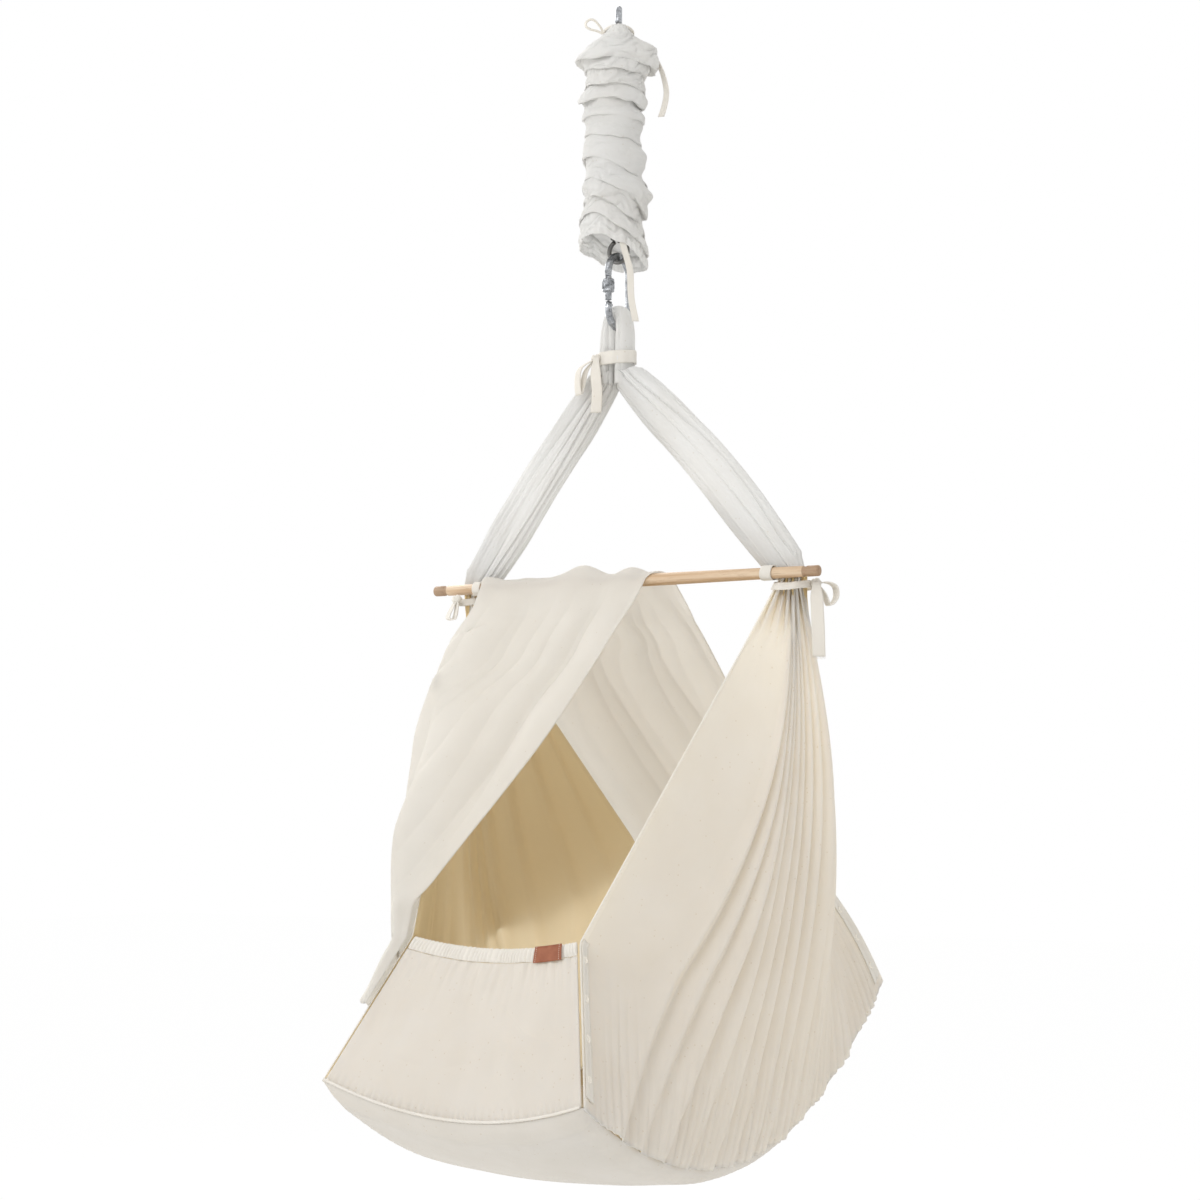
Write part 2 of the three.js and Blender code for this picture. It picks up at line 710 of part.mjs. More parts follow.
function seamBlock(halfX, halfY, low, high) {
  const at = (height) => (u, v) => {
    const x = mix(-halfX, halfX, u);
    const y = mix(-halfY, halfY, v);
    return point(x, y, seamZ(x, y) + height);
  };
  return slab(6, 20, at(high), at(low));
}

function baseTray() {
  const inner = clothThickness;
  const outside = seamBlock(halfWidth, halfSpan, -bandHeight, 0);
  const inside = seamBlock(halfWidth - inner, halfSpan - inner, inner - bandHeight, cutOverrun);
  return cut(outside, inside);
}

function mattress() {
  const low = clothThickness + swingGap - bandHeight;
  return seamBlock(halfWidth - mattressInset, halfSpan - mattressInset, low, low + mattressThickness);
}

// Wings: the long sides, fanning from the ties at the bar's ends down to the base's long seams
const wingTopShares = { frontX: -0.42, backX: 0.42, frontY: -0.22, backY: 0.3 };
const panelCornerShare = 0.7;
const edgePullShare = 0.34;

function wingTop(side, u) {
  const x = tieX + bundleWidth * mix(wingTopShares.frontX, wingTopShares.backX, u);
  const y = bundleY + bundleDepth * mix(wingTopShares.frontY, wingTopShares.backY, u);
  return point(side * x, y, spreaderZ - touchGap - clothThickness / 2);
}

function wingBase(side, u) {
  const y = mix(-halfSpan, halfSpan, u);
  return point(side * (halfWidth - clothThickness / 2), y, seamZ(halfWidth, y) + seamGap);
}

function cornerPull(side, u, v) {
  const nearFront = smooth(1 - u / edgePullShare);
  const nearBack = smooth(1 - (1 - u) / edgePullShare);
  const tent = v < panelCornerShare ? v / panelCornerShare : (1 - v) / (1 - panelCornerShare);
  const frontCorner = point(side * panelTopHalf, -panelTopY, frontTopZ);
  const backCorner = point(side * panelTopHalf, panelTopY, backTopZ);
  const frontStraight = wingTop(side, 0).lerp(wingBase(side, 0), panelCornerShare);
  const backStraight = wingTop(side, 1).lerp(wingBase(side, 1), panelCornerShare);
  const pull = frontCorner.sub(frontStraight).multiplyScalar(nearFront * tent);
  return pull.addScaledVector(backCorner.sub(backStraight), nearBack * tent);
}

function wingSurface(side, foldDepth = wingFoldDepth) {
  return (u, v) => {
    const place = wingTop(side, u).lerp(wingBase(side, u), v);
    place.add(cornerPull(side, u, v));
    const down = Math.min(1, Math.max(0, v));
    const body = Math.sin(Math.PI * down) ** mix(2 / 3, 1, down);
    const inward = smooth(u / edgePullShare) * smooth((1 - u) / edgePullShare);
    const fold = foldDepth * Math.cos(2 * Math.PI * wingFolds * u) * inward;
    place.x += side * body * (wingBulge * inward + fold);
    return place;
  };
}

function wing(side) {
  return cloth(4 * wingFolds, 10, wingSurface(side), clothThickness);
}

// End panels: snapped to the wings' edges, gathered on elastic along the top
function panelHeight(end) {
  return end < 0 ? frontTopZ - frontCornerZ : backTopZ - backCornerZ;
}

function panelSurface(end) {
  const topZ = end < 0 ? frontTopZ : backTopZ;
  const edgeGap = clothThickness + swingGap;
  return (u, v) => {
    const across = 2 * u - 1;
    const bottomX = (halfWidth - edgeGap) * across;
    const bottomY = end * (halfSpan - clothThickness / 2);
    const bottom = point(bottomX, bottomY, seamZ(bottomX, end * halfSpan) + seamGap);
    const sag = hemSag * (1 - across ** 2);
    const top = point((panelTopHalf - edgeGap) * across, end * panelTopY, topZ - sag);
    const bow = Math.sin(Math.PI * Math.min(1, Math.max(0, v))) * (1 - across ** 2);
    return bottom.lerp(top, v).addScaledVector(yAxis, end * hemThickness * bow);
  };
}

function endPanel(end) {
  const whole = panelSurface(end);
  const topShare = 1 - hemHeight / panelHeight(end);
  return cloth(12, 5, (u, v) => whole(u, v * topShare), clothThickness);
}

function endHem(end) {
  const whole = panelSurface(end);
  const lowShare = 1 - (hemHeight - seamGap) / panelHeight(end);
  return cloth(12, 1, (u, v) => whole(u, mix(lowShare, 1, v)), hemThickness);
}

function seamPiping(end) {
  const radius = pipingDiameter / 2;
  const half = halfWidth - clothThickness - swingGap;
  const y = end * (halfSpan + radius + touchGap);
  const pointsAcross = 7;
  const line = Array.from({ length: pointsAcross }, (_, i) => {
    const x = mix(-half, half, i / (pointsAcross - 1));
    return point(x, y, seamZ(x, end * halfSpan) + radius);
  });
  return rod(through(line), radius, 6, 12);
}

// Snap strips: a tape with four press studs down each wing's edge, beside the end panels
function snapStrip(side, end) {
  const surface = wingSurface(side);
  const edge = end < 0 ? 0 : 1;
  const inwards = end < 0 ? 1 : -1;
  const standOff = (clothThickness + stripThickness) / 2 + touchGap + seamGap;
  const stripShare = stripWidth / baseSpan;
  const firstShare = panelCornerShare + stripShare;
  const lastShare = 1 - stripShare;
  const outward = normalAt(surface, edge + inwards * stripShare, lastShare).x * side > 0 ? 1 : -1;
  const raised = offsetFrom(surface, outward * standOff);
  const strip = (u, v) => raised(edge + inwards * stripShare * (u + 1 / 8), mix(firstShare, lastShare, v));
  const studs = Array.from({ length: snapCount }, (_, i) => {
    const down = (i + 1 / 2) / snapCount;
    const at = mix(firstShare, lastShare, down);
    const normal = normalAt(surface, edge + inwards * (stripShare / 2), at).multiplyScalar(outward);
    const centre = strip(1 / 2, down).addScaledVector(normal, snapHeight / 2);
    return cylinderAlong(normal, snapDiameter / 2, snapHeight, 8, centre);
  });
  return join(cloth(1, 4, strip, stripThickness), ...studs);
}

// Plain leather tag sewn on the front hem
function leatherTag() {
  const standOff = (hemThickness + tagThickness) / 2 + touchGap;
  const whole = panelSurface(-1);
  const outward = normalAt(whole, 1 / 2, 1 / 2).y < 0 ? 1 : -1;
  const raised = offsetFrom(whole, outward * standOff);
  const middleU = 1 / 2 + tagOffset / panelTopWidth;
  const halfU = tagWidth / 2 / panelTopWidth;
  const lowShare = 1 - tagHeight / panelHeight(-1);
  return cloth(3, 1, (u, v) => raised(middleU + halfU * (2 * u - 1), mix(lowShare, 1, v)), tagThickness);
}

// Tie tapes
const pinchShare = 0.4;
const viewAcross = point(Math.cos(upperCarabinerTurn), Math.sin(upperCarabinerTurn), 0);
const viewTowards = point(Math.sin(upperCarabinerTurn), -Math.cos(upperCarabinerTurn), 0);

function knotAt(centre) {
  const knot = new THREE.SphereGeometry(knotWidth / 2, 8, 6);
  knot.scale(1, 1, tapeWidth / knotWidth / 2);
  return knot.translate(centre.x, centre.y, centre.z);
}

// A loop of tape from its knot and back, pinched in where it enters the knot.
function bow(knotCentre, loopPoints, widthAxis) {
  const line = through([knotCentre.clone(), ...loopPoints], true);
  const widthAt = (u) => tapeWidth * mix(pinchShare, 1, Math.sin(Math.PI * u) ** 2);
  const surface = (u, v) => line.getPoint((u + 1) % 1).addScaledVector(widthAxis, (v - 1 / 2) * widthAt(u));
  return join(knotAt(knotCentre), cloth(12, 1, surface, tapeThickness, true));
}

const neckKnot = point(
  -(neckWidth + tapeThickness) / 2,
  -(neckDepth + tapeThickness) / 2,
  lowerBarZ - tieDrop - tapeWidth / 2
);

function neckBow() {
  const drop = (across, along, share) => neckKnot.clone().add(point(-across, -along, -share * neckBowDrop));
  const loops = [
    drop(neckBowReach, knotWidth, 1 / 3),
    drop(neckBowReach + tapeThickness, knotWidth - tapeThickness, 1),
    drop(neckBowReach - tapeThickness, knotWidth / 2, 1 / 2),
  ];
  return bow(neckKnot, loops, point(Math.cos(neckBowTurn), -Math.sin(neckBowTurn), 0));
}

function neckTail() {
  const top = neckKnot.clone().addScaledVector(viewTowards, (knotWidth + tapeThickness) / 2 + touchGap);
  const hang = (share, out) => top.clone().add(point(-out, -out, tapeThickness - share * neckTailLength));
  const line = through([hang(0, 0), hang(1 / 2, tapeThickness), hang(1, 0)]);
  return tapeAlong(line, () => viewAcross, tapeWidth, 5);
}

function spreaderRadiusAt(x) {
  const start = spreaderLength / 8;
  const end = spreaderLength / 2 - spreaderGrooveInset;
  const share = Math.min(1, Math.max(0, (Math.abs(x) - start) / (end - start)));
  return mix(spreaderDiameter, spreaderEndDiameter, share) / 2;
}

function barTurn(side) {
  const x = tieX - bundleWidth / 2 - tapeWidth / 2;
  const radius = spreaderRadiusAt(x) + touchGap + tapeThickness;
  return tapeRing(point(side * x, 0, spreaderZ), radius, radius, yAxis, zAxis, tapeWidth, 12);
}

// Band round the gathered cloth just below the bar, wider at its lower edge.
const bandTopZ = spreaderZ - spreaderDiameter / 2 - swingGap;
const clothTurnShare = 0.72;

function clothTurn(side) {
  const flare = tapeWidth / 2;
  const surface = (u, v) => {
    const angle = u * 2 * Math.PI;
    const halfX = bundleWidth * clothTurnShare + (flare / 3) * v;
    const halfY = bundleDepth + flare * v;
    const x = side * (tieX + halfX * Math.cos(angle));
    return point(x, bundleY + halfY * Math.sin(angle), bandTopZ - (tapeWidth / 2) * v);
  };
  return cloth(16, 1, surface, tapeThickness, true);
}

// The right knot sits at the outer end of its cloth turn, the left one at the front.
const barKnotGap = (knotWidth + tapeThickness) / 2 + touchGap;
const barKnotZ = bandTopZ - tapeWidth / 4;
const barKnots = {
  right: point(tieX + bundleWidth * clothTurnShare + (tapeWidth / 12) + barKnotGap, bundleY, barKnotZ),
  left: point(-tieX, bundleY - bundleDepth - (tapeWidth * 5) / 11 - barKnotGap, barKnotZ),
};

function barBow(knot, outwards, reach, widthAxis) {
  const place = (share, drop, deep) => {
    const moved = knot.clone().addScaledVector(outwards, reach * share).addScaledVector(zAxis, -drop * barBowDrop);
    return moved.addScaledVector(widthAxis.clone().cross(zAxis), deep * knotWidth);
  };
  return bow(knot, [place(1 / 3, 1 / 2, -1 / 2), place(2 / 3, 1, 0), place(1, 1 / 2, 1 / 2)], widthAxis);
}

function barTail() {
  const top = barKnots.right.clone().addScaledVector(viewTowards, (knotWidth + tapeThickness) / 2 + touchGap);
  const hang = (share, out) => top.clone().add(point(out, -out, tapeThickness - share * barTailLength));
  const line = through([hang(0, 0), hang(1 / 2, tapeThickness), hang(1, 0)]);
  return tapeAlong(line, () => viewAcross, tapeWidth, 5);
}

// Veil: one muslin sheet over the bar; it hangs before the left wing's front edge and behind its
// back edge, and lies round the wing's outside further down
const veilRowShares = [0, 0.012, 0.024, 0.07, 0.12, 0.18, 0.26, 0.36, 0.48, 0.6, 0.72, 0.86, 1];
const veilFlaps = {
  front: { end: -1, edgeU: 0, reachShare: 0.84, freeSlope: 0.6 },
  back: { end: 1, edgeU: 1, reachShare: 0.66, freeSlope: 1.9 },
};
const veilRowSteps = 60;
const veilLooseShares = [0.9, 1, 1, 1, 0.85, 0.6, 0.35, 0.15, 0];
const veilBarRadius = (spreaderDiameter / 2 + touchGap + veilThickness / 2) / Math.cos(Math.PI / 8);
const veilLeftX = -(tieX - bundleWidth / 2 - tapeWidth - veilTieGap);

function veilHem(end, drop) {
  if (end < 0) {
    const share = Math.max(0, drop / veilFrontHemDrop);
    const x = mix(veilFrontReach, -panelTopHalf, share ** (5 / 3));
    return point(x, -veilBarRadius - (panelTopY - veilBackSpread / 2) * share, spreaderZ - drop);
  }
  const share = drop / veilBackHemDrop;
  return point(veilBackReach + veilBackSpread * share, veilBarRadius + panelTopY * share, spreaderZ - drop);
}

function veilRow(flap, share) {
  const { end, edgeU, reachShare, freeSlope } = flap;
  const surface = wingSurface(-1, 0);
  const down = (share - veilRowShares[2]) / (1 - veilRowShares[2]);
  const reach = Math.max(0, down) * reachShare;
  const wrap = (1 / 2 - 1 / 50) * smooth((share - veilRowShares[4]) * 4);
  const loose = veilStandOff + veilBulge * shareAt(veilLooseShares, down);
  const outside = (u) => {
    const normal = normalAt(surface, u, reach);
    if (normal.x > 0) normal.negate();
    return surface(u, reach).addScaledVector(normal, loose + wingFoldDepth);
  };
  const edge = surface(edgeU, reach);
  const drop = spreaderZ - edge.z;
  const hem = veilHem(end, drop);
  const corner = edge.clone().add(point(-loose * (2 / 3), end * loose * (2 / 3), 0));
  const past = end < 0 ? smooth((reach - panelCornerShare + 1 / 10) * 16) : 0;
  hem.lerp(edge.clone().add(point(-veilStandOff / 6, end * veilStandOff, 0)), past);
  const laid = [
    outside(mix(edgeU, 1 / 2, 2 * wrap)),
    outside(mix(edgeU, 1 / 2, wrap)),
    outside(edgeU),
    corner,
    corner.clone().lerp(hem, 1 / 2),
    hem,
  ];
  const left = point(veilLeftX, end * (veilBarRadius + freeSlope * drop), edge.z);
  const free = 1 - smooth((share - veilRowShares[3]) / (veilRowShares[5] - veilRowShares[3]));
  const line = laid.map((place, i) => place.lerp(left.clone().lerp(hem, i / (laid.length - 1)), free));
  const row = through(line);
  row.arcLengthDivisions = veilRowSteps;
  return row;
}

function veilSurface(u, v) {
  const flap = v < 1 / 2 ? veilFlaps.front : veilFlaps.back;
  const place = Math.min(1, Math.abs(2 * v - 1)) * (veilRowShares.length - 1);
  const index = Math.min(veilRowShares.length - 2, Math.floor(place));
  const share = mix(veilRowShares[index], veilRowShares[index + 1], place - index);
  if (index > 1) return veilRow(flap, share).getPointAt(Math.min(1, Math.max(0, u)));
  const over = flap.end * (share / veilRowShares[2]) * (Math.PI / 2);
  const reachX = mix(veilFrontReach, veilBackReach, 1 / 2 + over / Math.PI);
  const x = mix(veilLeftX, reachX, u);
  return point(x, veilBarRadius * Math.sin(over), spreaderZ + veilBarRadius * Math.cos(over));
}

// Steel gear and spring
addCarabiner('upper_carabiner', 0, upperCarabinerTurn);
addPart('spring_top_hook', springHook(topHookZ, 1, coilTopZ, -coilJointAngle, upperCarabinerTurn), materials.steel);
addPart('spring_coil', springCoil(), materials.steel);
addPart(
  'spring_low_hook',
  springHook(lowHookZ, -1, coilLowZ, springCoilAngle + coilJointAngle, 0),
  materials.steel
);
addCarabiner('lower_carabiner', lowerOriginZ, 0);

// Sleeve
addPart('spring_sleeve', cloth(18, 24, sleeveSurface, sleeveWall, true), materials.cotton);
addPart('sleeve_drawcord', sleeveDrawcord(), materials.tape);
addPart('sleeve_upper_tape', upperTape(), materials.tape);
addPart('sleeve_lower_tape', lowerTape(), materials.tape);

// Cloth above the bar
addPart('gather_loop', gatherLoop(), materials.cotton);
addPart('neck_tie', neckTie(), materials.tape);
addPart('neck_tie_bow', neckBow(), materials.tape);
addPart('neck_tie_tail', neckTail(), materials.tape);
for (const [name, side] of [['left', -1], ['right', 1]]) {
  addPart(`${name}_leg`, leg(side), materials.cotton);
  addPart(`${name}_bar_turn`, barTurn(side), materials.tape);
  addPart(`${name}_cloth_turn`, clothTurn(side), materials.tape);
  addPart(`${name}_wing`, wing(side), materials.cotton);
  addPart(`${name}_front_snaps`, snapStrip(side, -1), materials.cotton);
  addPart(`${name}_back_snaps`, snapStrip(side, 1), materials.cotton);
}
addPart('left_bar_bow', barBow(barKnots.left, point(-1, 0, 0), barBowReach / 2, viewAcross), materials.tape);
addPart('right_bar_bow', barBow(barKnots.right, viewAcross, barBowReach, viewTowards), materials.tape);
addPart('right_bar_tail', barTail(), materials.tape);
addPart('spreader_bar', spreaderBar(), materials.oak);

// Cradle
addPart('base_tray', baseTray(), materials.cotton);
addPart('mattress', mattress(), materials.cotton);
for (const [name, end] of [['front', -1], ['back', 1]]) {
  addPart(`${name}_panel`, endPanel(end), materials.cotton);
  addPart(`${name}_elastic_hem`, endHem(end), materials.cotton);
  addPart(`${name}_piping`, seamPiping(end), materials.cotton);
}
addPart('leather_tag', leatherTag(), materials.leather);
addPart('veil', cloth(15, 2 * (veilRowShares.length - 1), veilSurface, veilThickness), materials.muslin);

export default cradle;
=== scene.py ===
import math

import bmesh
import bpy
from mathutils import Matrix, Vector, noise


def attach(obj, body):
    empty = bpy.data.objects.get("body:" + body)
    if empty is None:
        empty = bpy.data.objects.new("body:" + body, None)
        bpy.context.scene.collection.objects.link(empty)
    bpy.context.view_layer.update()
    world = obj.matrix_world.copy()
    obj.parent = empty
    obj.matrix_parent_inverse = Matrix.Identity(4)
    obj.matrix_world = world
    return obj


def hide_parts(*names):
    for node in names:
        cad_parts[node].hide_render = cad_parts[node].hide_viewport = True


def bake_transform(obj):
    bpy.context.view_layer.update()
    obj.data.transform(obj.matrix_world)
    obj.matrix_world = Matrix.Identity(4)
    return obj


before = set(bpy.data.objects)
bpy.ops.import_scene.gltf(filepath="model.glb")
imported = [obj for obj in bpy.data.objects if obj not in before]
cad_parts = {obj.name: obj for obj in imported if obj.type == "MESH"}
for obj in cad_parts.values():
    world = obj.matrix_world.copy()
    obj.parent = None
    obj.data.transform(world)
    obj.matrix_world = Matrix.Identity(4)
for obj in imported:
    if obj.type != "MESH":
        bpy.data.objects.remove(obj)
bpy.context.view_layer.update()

# The photographer's place: 3.6 m away, turned 33.7 degrees from the bed's length, 0.3 m below
# the spreader bar and looking slightly up.
def shown(name, data):
    made = bpy.data.objects.new(name, data)
    bpy.context.scene.collection.objects.link(made)
    return made


view_turn = math.radians(33.7)
view_across = Vector((math.cos(view_turn), math.sin(view_turn), 0))
view_towards = Vector((math.sin(view_turn), -math.cos(view_turn), 0))
camera_distance = 3.6
camera_height = -1.085
camera_tilt = math.radians(4.31)
photo_side = 1200
photo_focal_share = 2653 / photo_side
photo_centre_share = 18.5 / photo_side
camera_data = bpy.data.cameras.new("studio_camera")
camera_data.lens = camera_data.sensor_width * photo_focal_share
camera_data.shift_x = -photo_centre_share
camera = shown("studio_camera", camera_data)
camera.location = view_towards * camera_distance + Vector((0, 0, camera_height))
camera.rotation_euler = (math.pi / 2 + camera_tilt, 0, view_turn)
bpy.context.scene.camera = camera


# The drawcord's bow at the sleeve's neck: 3.4 mm round cotton cord, tied on the side that the
# camera has on its left. The loop stands out of the knot and goes back into it.
drawcord_diameter = 0.0034
neck_half_across = 0.0204
neck_half_along = 0.0386
neck_cord_z = -0.028
bow_wide = 0.0225
bow_tall = 0.0204
# Shares of the bow's width and height, from the knot round and back to it.
bow_places = [
    (0, 0), (0.3, 0.55), (0.72, 0.88), (1.02, 0.72),
    (1.1, 0.42), (0.82, 0.2), (0.4, 0.12), (0.08, -0.02),
]
bow_data = bpy.data.curves.new("drawcord_bow", "CURVE")
bow_data.dimensions = "3D"
# The cord's thickness is in the radius of its points.
bow_data.bevel_depth = 1
bow_data.bevel_resolution = 4
bow_data.resolution_u = 10
bow_data.use_fill_caps = True
bow_line = bow_data.splines.new("BEZIER")
bow_line.bezier_points.add(len(bow_places) - 1)
bow_start = view_across * -neck_half_across + Vector((0, 0, neck_cord_z))
bow_out = view_towards * 0.35 - view_across
for bow_point, (out, rise) in zip(bow_line.bezier_points, bow_places):
    bow_point.co = bow_start + bow_out * (out * bow_wide) + Vector((0, 0, rise * bow_tall))
    bow_point.radius = drawcord_diameter / 2
    bow_point.handle_left_type = "AUTO"
    bow_point.handle_right_type = "AUTO"
drawcord_bow = shown("drawcord_bow", bow_data)
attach(drawcord_bow, "spring_top")


# Studio: a white surround that also shows in metal, a pale floor well below the cradle, a broad
# lamp high in front, a weak one at the left, and a strong one behind that shines through the cloth.
class Wire:
    """What leaves a shader node. A sum of wires adds its Math nodes."""

    def __init__(self, finish, socket):
        self.finish = finish
        self.socket = socket

    def reckoned(self, operation, first, second):
        return self.finish.node("ShaderNodeMath", {"operation": operation}, {0: first, 1: second})

    def __add__(self, other):
        return self.reckoned("ADD", self, other)

    def __sub__(self, other):
        return self.reckoned("SUBTRACT", self, other)

    def __mul__(self, other):
        return self.reckoned("MULTIPLY", self, other)

    def __gt__(self, other):
        return self.reckoned("GREATER_THAN", self, other)

    def __lt__(self, other):
        return self.reckoned("LESS_THAN", self, other)


class Finish:
    """The nodes of one finish, of a piece or of the surround."""

    def __init__(self, owner):
        owner.use_nodes = True
        self.owner = owner
        self.tree = owner.node_tree
        self.tree.nodes.clear()

    def node(self, kind, settings=None, sockets=None, out=0):
        made = self.tree.nodes.new(kind)
        for key, value in (settings or {}).items():
            if key == "stops":
                ramp = made.color_ramp.elements
                while len(ramp) < len(value):
                    ramp.new(0.5)
                for stop, (position, colour) in zip(ramp, value):
                    stop.position = position
                    stop.color = colour
            else:
                setattr(made, key, value)
        for key, value in (sockets or {}).items():
            if isinstance(value, Wire):
                self.tree.links.new(value.socket, made.inputs[key])
            else:
                made.inputs[key].default_value = value
        return Wire(self, made.outputs[out]) if len(made.outputs) else None

    def place(self):
        return self.node("ShaderNodeTexCoord", out="Object")

    def cloud(self, place, scale, detail, **more):
        sockets = {"Vector": place, "Scale": scale, "Detail": detail, **more}
        return self.node("ShaderNodeTexNoise", None, sockets)

    def axis(self, vector, index):
        return self.node("ShaderNodeSeparateXYZ", None, {0: vector}, index)

    def tint(self, factor, low, high):
        settings = {"data_type": "RGBA", "clamp_factor": True}
        return self.node("ShaderNodeMix", settings, {0: factor, 6: low, 7: high}, 2)

    def bump(self, height, distance, strength, under=None):
        sockets = {"Height": height, "Distance": distance, "Strength": strength}
        if under is not None:
            sockets["Normal"] = under
        return self.node("ShaderNodeBump", None, sockets)

    def surface(self, sockets):
        shader = self.node("ShaderNodeBsdfPrincipled", None, sockets)
        self.node("ShaderNodeOutputMaterial", None, {"Surface": shader})


def painted(code):
    """A colour read off the photograph, as the shader takes it."""
    parts = [int(code[i : i + 2], 16) / 255 for i in (0, 2, 4)]
    plain = [p / 12.92 if p <= 0.04045 else ((p + 0.055) / 1.055) ** 2.4 for p in parts]
    return (*plain, 1)


def seen_ray(finish):
    camera_ray = finish.node("ShaderNodeLightPath", out="Is Camera Ray")
    glossy_ray = finish.node("ShaderNodeLightPath", out="Is Glossy Ray")
    clear_ray = finish.node("ShaderNodeLightPath", out="Is Transmission Ray")
    return camera_ray + glossy_ray + clear_ray > 0.5


surround_level = 0.96
surround = bpy.data.worlds.new("white_surround")
bpy.context.scene.world = surround
around = Finish(surround)
seen = around.node("ShaderNodeBackground", None, {"Color": (1, 1, 1, 1), "Strength": 1})
lit_sockets = {"Color": (1, 0.993, 0.978, 1), "Strength": surround_level}
lit = around.node("ShaderNodeBackground", None, lit_sockets)
both = around.node("ShaderNodeMixShader", None, {0: seen_ray(around), 1: lit, 2: seen})
around.node("ShaderNodeOutputWorld", None, {"Surface": both})

floor_z = -2.05
floor_half = 14
floor_mesh = bmesh.new()
bmesh.ops.create_grid(floor_mesh, x_segments=2, y_segments=2, size=floor_half)
bmesh.ops.translate(floor_mesh, verts=floor_mesh.verts, vec=(0, 0, floor_z))
floor_data = bpy.data.meshes.new("studio_floor")
floor_mesh.to_mesh(floor_data)
floor_mesh.free()
studio_floor = shown("studio_floor", floor_data)
paper = Finish(bpy.data.materials.new("floor_paper"))
pale = paper.node("ShaderNodeBsdfDiffuse", None, {"Color": painted("F4F3F1")})
bright = paper.node("ShaderNodeEmission", None, {"Color": (1, 1, 1, 1), "Strength": 1})
floor_share = seen_ray(paper) * 0.975
paper_mix = paper.node("ShaderNodeMixShader", None, {0: floor_share, 1: pale, 2: bright})
paper.node("ShaderNodeOutputMaterial", None, {"Surface": paper_mix})
floor_data.materials.append(paper.owner)


lamp_aim = Vector((0, 0, -1.0))


def lamp(name, across, towards, height, size, watts):
    """A square lamp that points at the cradle. Its place is given as the camera sees it."""
    data = bpy.data.lights.new(name, "AREA")
    data.shape = "SQUARE"
    data.size = size
    data.energy = watts
    made = shown(name, data)
    made.location = view_across * across + view_towards * towards + Vector((0, 0, height))
    made.rotation_euler = (lamp_aim - made.location).to_track_quat("-Z", "Y").to_euler()


lamp("key_lamp", -1.5, 2.6, 1.2, size=1.2, watts=25)
lamp("left_lamp", -2.6, 0.5, 0.1, size=1.6, watts=12)
lamp("back_lamp", -1.2, -2.6, 0.9, size=2.6, watts=80)
bpy.context.scene.view_settings.view_transform = "Standard"


# Screw links: two steel carabiners bent from a 10 mm bar, each with a hinged gate and a knurled
# sleeve that screws over the nose. The upper one hangs in the ceiling hook.
def mix(a, b, t):
    return a + (b - a) * t


def smooth(t):
    s = min(1.0, max(0.0, t))
    return s * s * (3 - 2 * s)


def piece(name, mesh, finishes, body, replaces=()):
    """Turns a bmesh into a finished object that rides on its body."""
    data = bpy.data.meshes.new(name)
    for face in mesh.faces:
        face.smooth = True
    mesh.to_mesh(data)
    mesh.free()
    for finish in finishes:
        data.materials.append(finish)
    made = shown(name, data)
    if body:
        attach(made, body)
    if replaces:
        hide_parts(*replaces)
    return made


galvanised = Finish(bpy.data.materials.new("galvanised_steel"))
zinc_place = galvanised.place()
zinc_speckle = galvanised.cloud(zinc_place, 900, 3)
zinc_cloud = galvanised.cloud(zinc_place, 120, 2)
# The steel clouds between pale and dark grey: partly the zinc's own uneven tone, partly painted dark
# reflection.
zinc_tone_and_reflection = galvanised.tint(zinc_cloud * 2.4 - 0.8, painted("CBCED2"), painted("6A6C6F"))
zinc_colour = galvanised.tint((zinc_speckle > 0.57) * 0.7, zinc_tone_and_reflection, painted("4A4947"))
galvanised.surface(
    {
        "Base Color": zinc_colour,
        "Metallic": 1,
        "Roughness": zinc_cloud * 0.3 + 0.18,
        "Normal": galvanised.bump(zinc_speckle, 0.0002, 0.5),
    }
)

bar_radius = 0.005
bend_radius = 0.025
link_inside = 0.09
bend_top_z = bar_radius - bend_radius
bend_low_z = -link_inside - bar_radius + bend_radius
nose_length = 0.006
stub_length = 0.008
stub_top_z = bend_low_z + stub_length
hinge_z = stub_top_z - 0.005
gate_radius = 0.0045
nose_radius = gate_radius - 0.0006
gate_slit = 0.0003
gate_top_z = bend_top_z - nose_length - gate_slit
gate_low_z = stub_top_z + 0.0025
lock_radius = 0.0085
lock_length = 0.018
lock_travel = 0.010
lock_top_z = bend_top_z - gate_slit - lock_travel
knurl_depth = 0.00055
knurl_ribs = 32
knuckle_radius = 0.0024
knuckle_height = 0.0020
rivet_radius = 0.0024
rivet_x = bar_radius - 0.0004
lower_link_z = -0.3454


def turned(mesh, profile, steps, axis, centre=(0, 0, 0)):
    """A turned form: the profile's points are joined and spun right round the axis."""
    points = [mesh.verts.new(p) for p in profile]
    edges = [mesh.edges.new(pair) for pair in zip(points, points[1:])]
    bmesh.ops.spin(
        mesh, geom=points + edges, cent=centre, axis=axis, angle=math.tau, steps=steps, use_merge=True
    )
    bmesh.ops.remove_doubles(mesh, verts=mesh.verts, dist=1e-6)
    bmesh.ops.recalc_face_normals(mesh, faces=mesh.faces)


